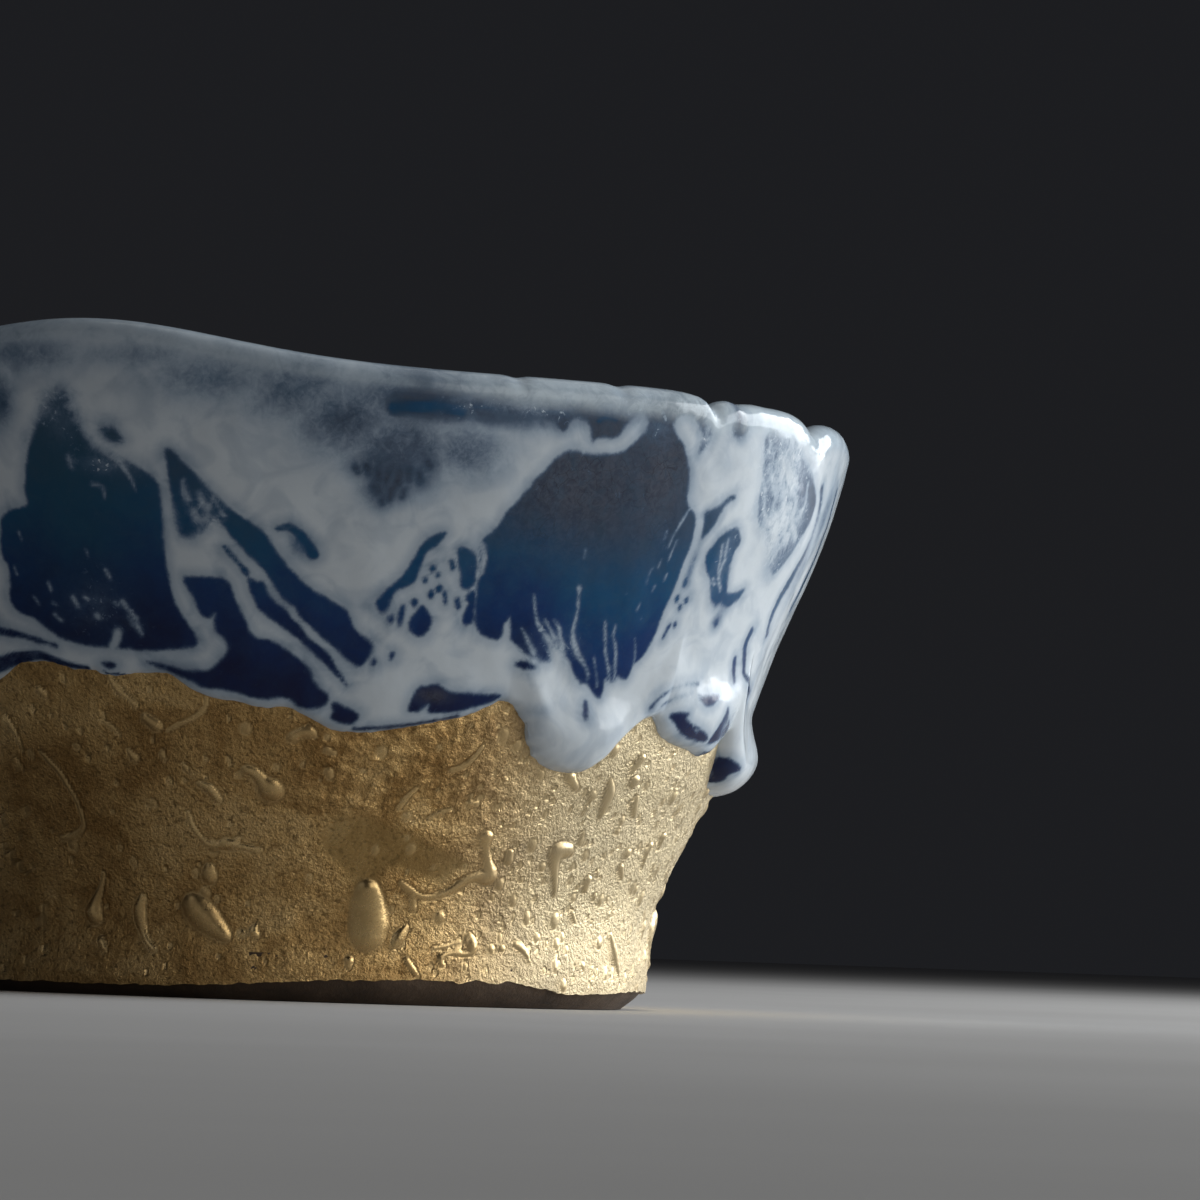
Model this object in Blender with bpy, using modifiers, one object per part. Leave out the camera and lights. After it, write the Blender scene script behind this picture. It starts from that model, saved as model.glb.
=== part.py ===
"""Hand-formed sake cup with a thick glaze that runs down over a gilded body.

The cup is one fired piece. It starts as a turned blank, and every point of the blank is
then moved by the shaping functions: the uneven lip, the soft corner in the plan, the
glaze runs that hang over the body and the raised runs of gold.

Sizes are in millimetres until the mesh is made. Angles are in degrees around the axis,
0 at the front (-Y) and 90 at the right (+X). The origin is the middle of the base.
"""

import math

import bpy

MM = 0.001
CUP_NAME = "sake_cup"

# Driving sizes
LIP_HEIGHT = 41.5
LIP_RADIUS = 39.1
FOOT_RADIUS = 25.8
BASE_RADIUS = 24.1
FOOT_CHAMFER_HEIGHT = 2.0
FOOT_BAND_HEIGHT = 3.5
FOOT_RING_WIDTH = 6.5
FOOT_RECESS = 1.4
FOOT_RECESS_SLOPE = 1.0
LIP_WALL = 2.7
LOWER_WALL = 4.2
FLOOR_THICKNESS = 5.2
BOWL_DEPTH = 14.0
BOWL_FULLNESS = 2.3
LIP_ROUNDING = 1.3
SKIRT_HEIGHT = 21.8
GLAZE_THICKNESS = 0.45

# Wall outside, from the foot band (0, 0) to the lip (1, 1): share of height, share of flare
WALL_OUTLINE = (
    (0.0, -0.012), (0.074, 0.008), (0.147, 0.083), (0.242, 0.21), (0.382, 0.42),
    (0.579, 0.62), (0.766, 0.844), (0.858, 0.93), (0.953, 0.992), (1.0, 1.0),
)

# Uneven lip: angle, half width in degrees, rise
LIP_WAVES = (
    (-22.0, 20.0, 2.7),
    (47.5, 4.0, -0.5),
    (92.0, 31.0, -1.5),
    (186.0, 34.0, 0.9),
    (243.0, 24.0, -0.7),
)

# Plan: angle, half width in degrees, how far the lip stands out there
PLAN_WAVES = (
    (46.0, 12.0, 0.55),
    (-62.0, 30.0, 0.35),
    (150.0, 26.0, 0.45),
    (262.0, 34.0, -0.4),
)
PLAN_WAVES_START = 0.35

# Glaze runs: angle, half width in degrees, drop below the skirt, squareness, bead
GLAZE_RUNS = (
    (-47.0, 12.0, 2.6, 2.4, 0.35),
    (-4.5, 8.5, 1.9, 4.0, 0.20),
    (9.0, 16.0, 3.8, 2.4, 0.30),
    (39.6, 10.4, 5.9, 4.2, 1.25),
    (61.0, 11.0, 3.9, 3.4, 0.70),
    (88.0, 18.5, 6.7, 6.0, 1.70),
    (124.0, 14.0, 2.6, 2.4, 0.45),
    (155.0, 10.0, 5.0, 3.4, 1.15),
    (190.0, 17.0, 2.4, 2.2, 0.30),
    (226.0, 10.0, 4.4, 3.2, 1.00),
    (262.0, 14.0, 2.9, 2.4, 0.40),
    (288.0, 8.0, 3.9, 2.8, 0.75),
)
BEAD_HEIGHT = 6.0
BEAD_CREST = 0.32

# Raised runs of gold: angle, height, half width, half length, how proud
GOLD_RUNS = (
    (8.5, 6.6, 2.0, 2.6, 0.55),
    (-10.5, 6.3, 1.9, 2.0, 0.45),
    (-19.0, 5.8, 1.3, 2.2, 0.40),
    (24.5, 10.2, 1.3, 2.6, 0.45),
    (36.5, 10.0, 1.4, 2.2, 0.40),
    (-36.0, 9.0, 1.4, 3.0, 0.40),
    (64.0, 8.4, 1.5, 2.4, 0.40),
    (118.0, 8.0, 1.8, 2.6, 0.45),
    (171.0, 9.2, 1.5, 3.2, 0.45),
    (212.0, 7.4, 1.9, 2.2, 0.45),
    (251.0, 9.6, 1.4, 2.8, 0.40),
    (296.0, 7.8, 1.8, 2.4, 0.45),
)

# How finely the blank is turned
TURN_STEPS = 100
GLAZE_RINGS = 8
BODY_RINGS = 9
INSIDE_RINGS = 6
BOWL_RINGS = 5
BOWL_RING_CROWDING = 1.7
LIP_STEPS = 4
BEAD_RING_SHARES = (0.72, 0.5, BEAD_CREST, 0.17, 0.06, 0.0)
CHAMFER_RING_SHARES = (1.0, 0.55, 0.2)


def smooth_share(t):
    """Ease a share from 0 to 1."""
    t = min(max(t, 0.0), 1.0)
    return t * t * (3.0 - 2.0 * t)


def read_outline(points, t):
    """Value at t of a smooth curve through the points, with no overshoot at its ends."""
    t = min(max(t, points[0][0]), points[-1][0])
    index = max(i for i in range(len(points) - 1) if points[i][0] <= t)
    before = points[max(index - 1, 0)]
    start, end = points[index], points[index + 1]
    after = points[min(index + 2, len(points) - 1)]
    span = end[0] - start[0]
    slope_start = (end[1] - before[1]) / (end[0] - before[0])
    slope_end = (after[1] - start[1]) / (after[0] - start[0])
    s = (t - start[0]) / span
    return (
        (2 * s**3 - 3 * s**2 + 1) * start[1]
        + (s**3 - 2 * s**2 + s) * span * slope_start
        + (3 * s**2 - 2 * s**3) * end[1]
        + (s**3 - s**2) * span * slope_end
    )


def angle_between(angle, centre):
    """Signed angle from centre to angle, from -180 to 180."""
    return (angle - centre + 180.0) % 360.0 - 180.0


def swell(angle, centre, half_width, squareness=2.0):
    """Bump around the cup: 1 at its centre, about a third at its half width."""
    return math.exp(-abs(angle_between(angle, centre) / half_width) ** squareness)


def lip_height(angle):
    """Height of the top of the lip."""
    return LIP_HEIGHT + sum(rise * swell(angle, at, width) for at, width, rise in LIP_WAVES)


def plan_shift(angle, height):
    """How far the wall stands out of the round, growing towards the lip."""
    share = (height / LIP_HEIGHT - PLAN_WAVES_START) / (1.0 - PLAN_WAVES_START)
    out = sum(size * swell(angle, at, width) for at, width, size in PLAN_WAVES)
    return out * smooth_share(share)


def run_at(angle):
    """Drop and bead of the glaze at an angle: the deepest run there wins."""
    drops = [
        (drop * swell(angle, at, width, square), bead * swell(angle, at, width, square))
        for at, width, drop, square, bead in GLAZE_RUNS
    ]
    return max(drops)


def skirt_height(angle):
    """Height of the glaze's lower edge."""
    return SKIRT_HEIGHT - run_at(angle)[0]


def wall_radius(height):
    """Radius of the fired body's outside, under the glaze and the gold."""
    if height <= FOOT_CHAMFER_HEIGHT:
        share = height / FOOT_CHAMFER_HEIGHT
        return BASE_RADIUS + (FOOT_RADIUS - BASE_RADIUS) * math.sin(share * math.pi / 2)
    if height <= FOOT_BAND_HEIGHT:
        return FOOT_RADIUS
    share = (height - FOOT_BAND_HEIGHT) / (LIP_HEIGHT - FOOT_BAND_HEIGHT)
    flare = read_outline(WALL_OUTLINE, share)
    return FOOT_RADIUS + (LIP_RADIUS - GLAZE_THICKNESS - FOOT_RADIUS) * flare


def bead_out(above, bead):
    """How far a glaze run's bead stands out, at a height above the glaze's edge."""
    share = min(max(above / BEAD_HEIGHT, 0.0), 1.0)
    if share < BEAD_CREST:
        return bead * math.sin(share / BEAD_CREST * math.pi / 2)
    return bead * (1.0 - smooth_share((share - BEAD_CREST) / (1.0 - BEAD_CREST)))


def outside_radius(angle, height):
    """Radius of the finished outside: body, then gold runs below or glaze above."""
    radius = wall_radius(height) + plan_shift(angle, height)
    above = height - skirt_height(angle)
    if above > 0.0:
        edge = math.sin(min(above / GLAZE_THICKNESS / 2.0, 1.0) * math.pi / 2)
        return radius + GLAZE_THICKNESS * edge + bead_out(above, run_at(angle)[1])
    for at, run_height, half_width, half_length, proud in GOLD_RUNS:
        across = math.radians(angle_between(angle, at)) * radius / half_width
        along = (height - run_height) / half_length
        radius += proud * math.exp(-(across**2 + along**2))
    return radius


def inside_radius(angle, height):
    """Radius of the hollow, from the bowl's floor up to the lip."""
    share = (height - FLOOR_THICKNESS) / (LIP_HEIGHT - FLOOR_THICKNESS)
    wall = LOWER_WALL + (LIP_WALL - LOWER_WALL) * smooth_share(share)
    radius = wall_radius(height) + GLAZE_THICKNESS + plan_shift(angle, height) - wall
    below = min(max((FLOOR_THICKNESS + BOWL_DEPTH - height) / BOWL_DEPTH, 0.0), 1.0)
    return radius * (1.0 - below**BOWL_FULLNESS) ** (1.0 / BOWL_FULLNESS)


def stepped(low, high, count):
    """Even steps from low to high, both ends included."""
    return [low + (high - low) * i / count for i in range(count + 1)]


def bowl_heights():
    """Heights of the bowl's rings above its floor, closer together near the floor."""
    shares = stepped(0.0, 1.0, BOWL_RINGS)[1:]
    return [FLOOR_THICKNESS + BOWL_DEPTH * share**BOWL_RING_CROWDING for share in shares]


def blank_profile():
    """The blank's outline as (radius, height, place), from the bowl's middle, up the
    inside, over the lip and down the outside to the middle of the base."""
    shoulder = LIP_HEIGHT - LIP_ROUNDING
    inner, outer = inside_radius(0.0, shoulder), wall_radius(shoulder) + GLAZE_THICKNESS
    points = [(0.0, FLOOR_THICKNESS, "inside")]
    points += [(inside_radius(0.0, z), z, "inside") for z in bowl_heights()]
    bowl_top = FLOOR_THICKNESS + BOWL_DEPTH
    points += [(inside_radius(0.0, z), z, "inside") for z in stepped(bowl_top, shoulder, INSIDE_RINGS)[1:]]

    middle = (inner + outer) / 2.0
    half = (outer - inner) / 2.0
    for step in range(1, 2 * LIP_STEPS):
        turn = math.pi * (1.0 - step / (2 * LIP_STEPS))
        height = shoulder + LIP_ROUNDING * math.sin(turn)
        points.append((middle + half * math.cos(turn), height, "lip"))

    bead_top = SKIRT_HEIGHT + BEAD_HEIGHT
    points += [(0.0, z, "outside") for z in stepped(shoulder, bead_top, GLAZE_RINGS)]
    points += [(0.0, SKIRT_HEIGHT + BEAD_HEIGHT * share, "outside") for share in BEAD_RING_SHARES]
    points += [(0.0, z, "outside") for z in stepped(SKIRT_HEIGHT, FOOT_BAND_HEIGHT, BODY_RINGS)[1:]]
    points += [(0.0, FOOT_CHAMFER_HEIGHT * share, "outside") for share in CHAMFER_RING_SHARES]
    points.append((BASE_RADIUS, 0.0, "base"))
    ring_inside = BASE_RADIUS - FOOT_RING_WIDTH
    points.append((ring_inside, 0.0, "base"))
    points.append((ring_inside - FOOT_RECESS_SLOPE, FOOT_RECESS, "base"))
    points.append((0.0, FOOT_RECESS, "base"))
    return [(outside_on_blank(z) if place == "outside" else r, z, place) for r, z, place in points]


def outside_on_blank(height):
    """Radius of the plain blank's outside, before any run or swelling."""
    above = min(max((height - SKIRT_HEIGHT) / GLAZE_THICKNESS / 2.0, 0.0), 1.0)
    return wall_radius(height) + GLAZE_THICKNESS * math.sin(above * math.pi / 2)


def restretch(height, old, new):
    """Move a height along with the levels it lies between."""
    for low, high, new_low, new_high in zip(old, old[1:], new, new[1:]):
        if height <= high:
            return new_low + (new_high - new_low) * (height - low) / (high - low)
    return new[-1]


def shaped_height(height, angle, place):
    """A blank's height once the lip waves and the glaze runs have moved it."""
    top = lip_height(angle)
    shoulder = LIP_HEIGHT - LIP_ROUNDING
    if place == "inside":
        floor = FLOOR_THICKNESS
        return restretch(height, (floor, shoulder, LIP_HEIGHT), (floor, top - LIP_ROUNDING, top))
    skirt = skirt_height(angle)
    old = (0.0, FOOT_BAND_HEIGHT, SKIRT_HEIGHT, SKIRT_HEIGHT + BEAD_HEIGHT, shoulder, LIP_HEIGHT)
    new = (0.0, FOOT_BAND_HEIGHT, skirt, skirt + BEAD_HEIGHT, top - LIP_ROUNDING, top)
    return restretch(height, old, new)


def shaped_point(radius, height, angle, place):
    """Where a point of the blank goes when the cup is shaped."""
    if place == "base":
        return radius, height
    if place == "lip":
        rise = lip_height(angle) - LIP_HEIGHT
        shoulder = LIP_HEIGHT - LIP_ROUNDING
        flare = wall_radius(shoulder + rise) - wall_radius(shoulder)
        return radius + flare + plan_shift(angle, shoulder + rise), height + rise
    new_height = shaped_height(height, angle, place)
    if place == "inside":
        return inside_radius(angle, new_height) if radius > 0.0 else 0.0, new_height
    return outside_radius(angle, new_height), new_height


def new_collection(name):
    collection = bpy.data.collections.new(name)
    bpy.context.scene.collection.children.link(collection)
    return collection


def turned_blank(profile, collection):
    """Turn the profile into a closed mesh with one ring of points per profile point."""
    mesh = bpy.data.meshes.new("cup_profile")
    points = [(radius * MM, 0.0, height * MM) for radius, height, place in profile]
    mesh.from_pydata(points, [(i, i + 1) for i in range(len(points) - 1)], [])
    blank = bpy.data.objects.new("cup_blank", mesh)
    collection.objects.link(blank)
    screw = blank.modifiers.new("turn", "SCREW")
    screw.axis = "Z"
    screw.steps = TURN_STEPS
    screw.render_steps = TURN_STEPS
    screw.use_merge_vertices = True
    screw.merge_threshold = 0.00001
    bpy.context.view_layer.update()
    evaluated = blank.evaluated_get(bpy.context.evaluated_depsgraph_get())
    turned = bpy.data.meshes.new_from_object(evaluated)
    bpy.data.objects.remove(blank)
    return turned


def shape_by_hand(mesh, profile):
    """Move every point of the turned blank to its place on the finished cup."""
    for vertex in mesh.vertices:
        x, y, z = (value / MM for value in vertex.co)
        turned_radius = math.hypot(x, y)
        place = min(profile, key=lambda p: abs(p[0] - turned_radius) + abs(p[1] - z))[2]
        angle = math.degrees(math.atan2(x, -y))
        radius, height = shaped_point(turned_radius, z, angle, place)
        turn = math.radians(angle)
        vertex.co = (radius * MM * math.sin(turn), -radius * MM * math.cos(turn), height * MM)


def centre_on_origin(mesh):
    """Set the middle of the cup's width and depth over the origin."""
    for axis in (0, 1):
        values = [vertex.co[axis] for vertex in mesh.vertices]
        middle = (min(values) + max(values)) / 2.0
        for vertex in mesh.vertices:
            vertex.co[axis] -= middle


def glaze_material():
    material = bpy.data.materials.new("milky_blue_glaze")
    material.use_nodes = True
    shader = material.node_tree.nodes["Principled BSDF"]
    shader.inputs["Base Color"].default_value = (0.55, 0.62, 0.70, 1.0)
    shader.inputs["Roughness"].default_value = 0.15
    shader.inputs["Metallic"].default_value = 0.0
    return material


def build_cup():
    collection = new_collection("kintsugi_sake_cup")
    profile = blank_profile()
    mesh = turned_blank(profile, collection)
    shape_by_hand(mesh, profile)
    centre_on_origin(mesh)
    mesh.name = CUP_NAME
    mesh.materials.clear()
    mesh.materials.append(glaze_material())
    mesh.shade_smooth()
    cup = bpy.data.objects.new(CUP_NAME, mesh)
    collection.objects.link(cup)
    return cup


for leftover in list(bpy.data.objects):
    bpy.data.objects.remove(leftover)
build_cup()
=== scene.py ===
import math

import bpy
import numpy as np
from mathutils import Matrix, Vector, kdtree, noise


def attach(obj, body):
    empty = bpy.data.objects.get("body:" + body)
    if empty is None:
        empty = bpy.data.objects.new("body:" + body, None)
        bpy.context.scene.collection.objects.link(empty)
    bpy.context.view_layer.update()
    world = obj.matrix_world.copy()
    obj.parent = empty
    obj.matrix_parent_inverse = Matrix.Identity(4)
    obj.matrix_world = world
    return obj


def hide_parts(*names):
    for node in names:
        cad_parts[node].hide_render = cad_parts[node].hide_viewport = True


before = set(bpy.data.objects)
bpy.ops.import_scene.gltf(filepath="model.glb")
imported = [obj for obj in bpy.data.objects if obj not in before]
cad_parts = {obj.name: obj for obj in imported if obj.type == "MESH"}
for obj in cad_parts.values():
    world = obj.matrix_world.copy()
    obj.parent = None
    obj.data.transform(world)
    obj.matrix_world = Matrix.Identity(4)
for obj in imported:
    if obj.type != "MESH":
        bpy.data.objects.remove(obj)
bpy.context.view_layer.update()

MM = 0.001

# The shape of the cup, as in the solid. Millimetres, and degrees from the front.
AXIS_X = -0.004
AXIS_Y = -0.057
LIP_HEIGHT = 41.5
LIP_RADIUS = 39.1
FOOT_RADIUS = 25.8
BASE_RADIUS = 24.1
FOOT_CHAMFER_HEIGHT = 2.0
FOOT_BAND_HEIGHT = 3.5
FOOT_RING_WIDTH = 6.5
FOOT_RECESS = 1.4
FOOT_RECESS_SLOPE = 1.0
LIP_WALL = 2.7
LOWER_WALL = 4.2
FLOOR_THICKNESS = 5.2
BOWL_DEPTH = 14.0
BOWL_FULLNESS = 2.3
LIP_ROUNDING = 1.3
SKIRT_HEIGHT = 21.8
GLAZE_THICKNESS = 0.45
# Share of the wall's height, and of the way from the foot's radius to the lip's
WALL_OUTLINE = (
    (0.0, -0.012), (0.074, 0.008), (0.147, 0.083), (0.242, 0.21), (0.382, 0.42),
    (0.579, 0.62), (0.766, 0.844), (0.858, 0.93), (0.953, 0.992), (1.0, 1.0),
)
# Angle, half width and size of the lip's waves and nicks, and of the plan's bulges
LIP_WAVES = (
    (-22.0, 20.0, 2.7), (47.5, 4.0, -0.5), (92.0, 31.0, -1.5),
    (186.0, 34.0, 0.9), (243.0, 24.0, -0.7),
)
LIP_NICKS = (
    (22.0, 0.9, -0.14), (33.5, 1.0, -0.16), (45.3, 0.9, -0.45), (48.0, 1.2, 0.25),
    (55.0, 3.0, -0.1), (66.5, 3.2, -0.75), (76.0, 5.0, 0.35),
)
PLAN_WAVES = (
    (46.0, 12.0, 0.55), (-62.0, 30.0, 0.35), (150.0, 26.0, 0.45), (262.0, 34.0, -0.4),
)
PLAN_WAVES_START = 0.35
# Angle, half width, drop, squareness and bead of each run of the glaze
GLAZE_RUNS = (
    (-47.0, 12.0, 2.6, 2.4, 0.35), (-4.5, 8.5, 1.9, 4.0, 0.20), (9.0, 16.0, 3.8, 2.4, 0.30),
    (39.6, 10.4, 5.9, 4.2, 1.25), (61.0, 11.0, 3.9, 3.4, 0.70), (88.0, 18.5, 6.7, 6.0, 1.70),
    (124.0, 14.0, 2.6, 2.4, 0.45), (155.0, 10.0, 5.0, 3.4, 1.15), (190.0, 17.0, 2.4, 2.2, 0.30),
    (226.0, 10.0, 4.4, 3.2, 1.00), (262.0, 14.0, 2.9, 2.4, 0.40), (288.0, 8.0, 3.9, 2.8, 0.75),
)
BEAD_HEIGHT = 6.0
BEAD_HEAD = 1.9
GOLD_THICKNESS = 0.05

# The view: where the camera stands, in millimetres from the cup's axis
CAMERA_AWAY = 520.0
CAMERA_HEIGHT = 4.8
CAMERA_YAW = 2.39
CAMERA_PITCH = 2.62
CAMERA_ROLL = 2.0
CAMERA_LENS = 222.86

# Points drawn on the front are given as they look from the camera: millimetres right of
# the axis and millimetres up, both at the depth of the axis, one pair after the other.

# The glaze's lower edge across the front
SKIRT_LINE = (
    -21.5, 21, -20.6, 21.4, -20, 21.8, -19.6, 22.1, -19.2, 22.5, -18.9, 22.75, -18, 22.85, -17.2, 22.95,
    -16.4, 22.8, -15.6, 22.6, -15, 22.4, -14.2, 22.45, -13.5, 22.4, -13, 22.2, -12.2, 22, -11.4, 22.1,
    -10.8, 22.3, -10, 22.35, -9.2, 22.4, -8.5, 22.4, -8, 22.2, -7.5, 21.85, -7, 21.5, -6.3, 21.15, -5.7,
    20.95, -5, 20.75, -4.2, 20.65, -3.4, 20.6, -2.7, 20.4, -2.1, 20.25, -1.3, 20.2, -0.7, 20.3, -0.1,
    20.35, 0.5, 20.2, 1.2, 19.85, 2, 19.5, 2.7, 19.1, 3.3, 18.85, 4, 18.75, 5, 18.72, 6, 18.75, 7, 18.95,
    8, 19.1, 9, 19.3, 10, 19.5, 11, 19.75, 12, 19.95, 12.8, 20.2, 13.6, 20.55, 14.4, 20.95, 15, 21.3,
    15.4, 21.3, 15.8, 21, 16.2, 20.5, 16.6, 20.15, 16.9, 19.8, 16.95, 19.2, 17, 18.6, 17.1, 18.1, 17.4,
    17.6, 17.8, 17.3, 18.3, 17, 18.8, 16.7, 19.3, 16.5, 20, 16.42, 20.8, 16.45, 21.5, 16.65, 22.2, 17,
    22.8, 17.35, 23.3, 17.8, 23.8, 18.4, 24.4, 19.1, 25, 19.75, 25.6, 20.3, 26.1, 20.6, 26.2, 20, 26.35,
    19.5, 26.65, 19.15, 27.2, 18.8, 27.9, 18.6, 28.5, 18.3, 29, 17.95, 29.15, 17.5, 29.2, 17, 29.25, 16.4,
    29.35, 15.9, 29.6, 15.45,
)
SKIRT_LINE_END = 66.0
SKIRT_BLEND = 5.0

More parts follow.
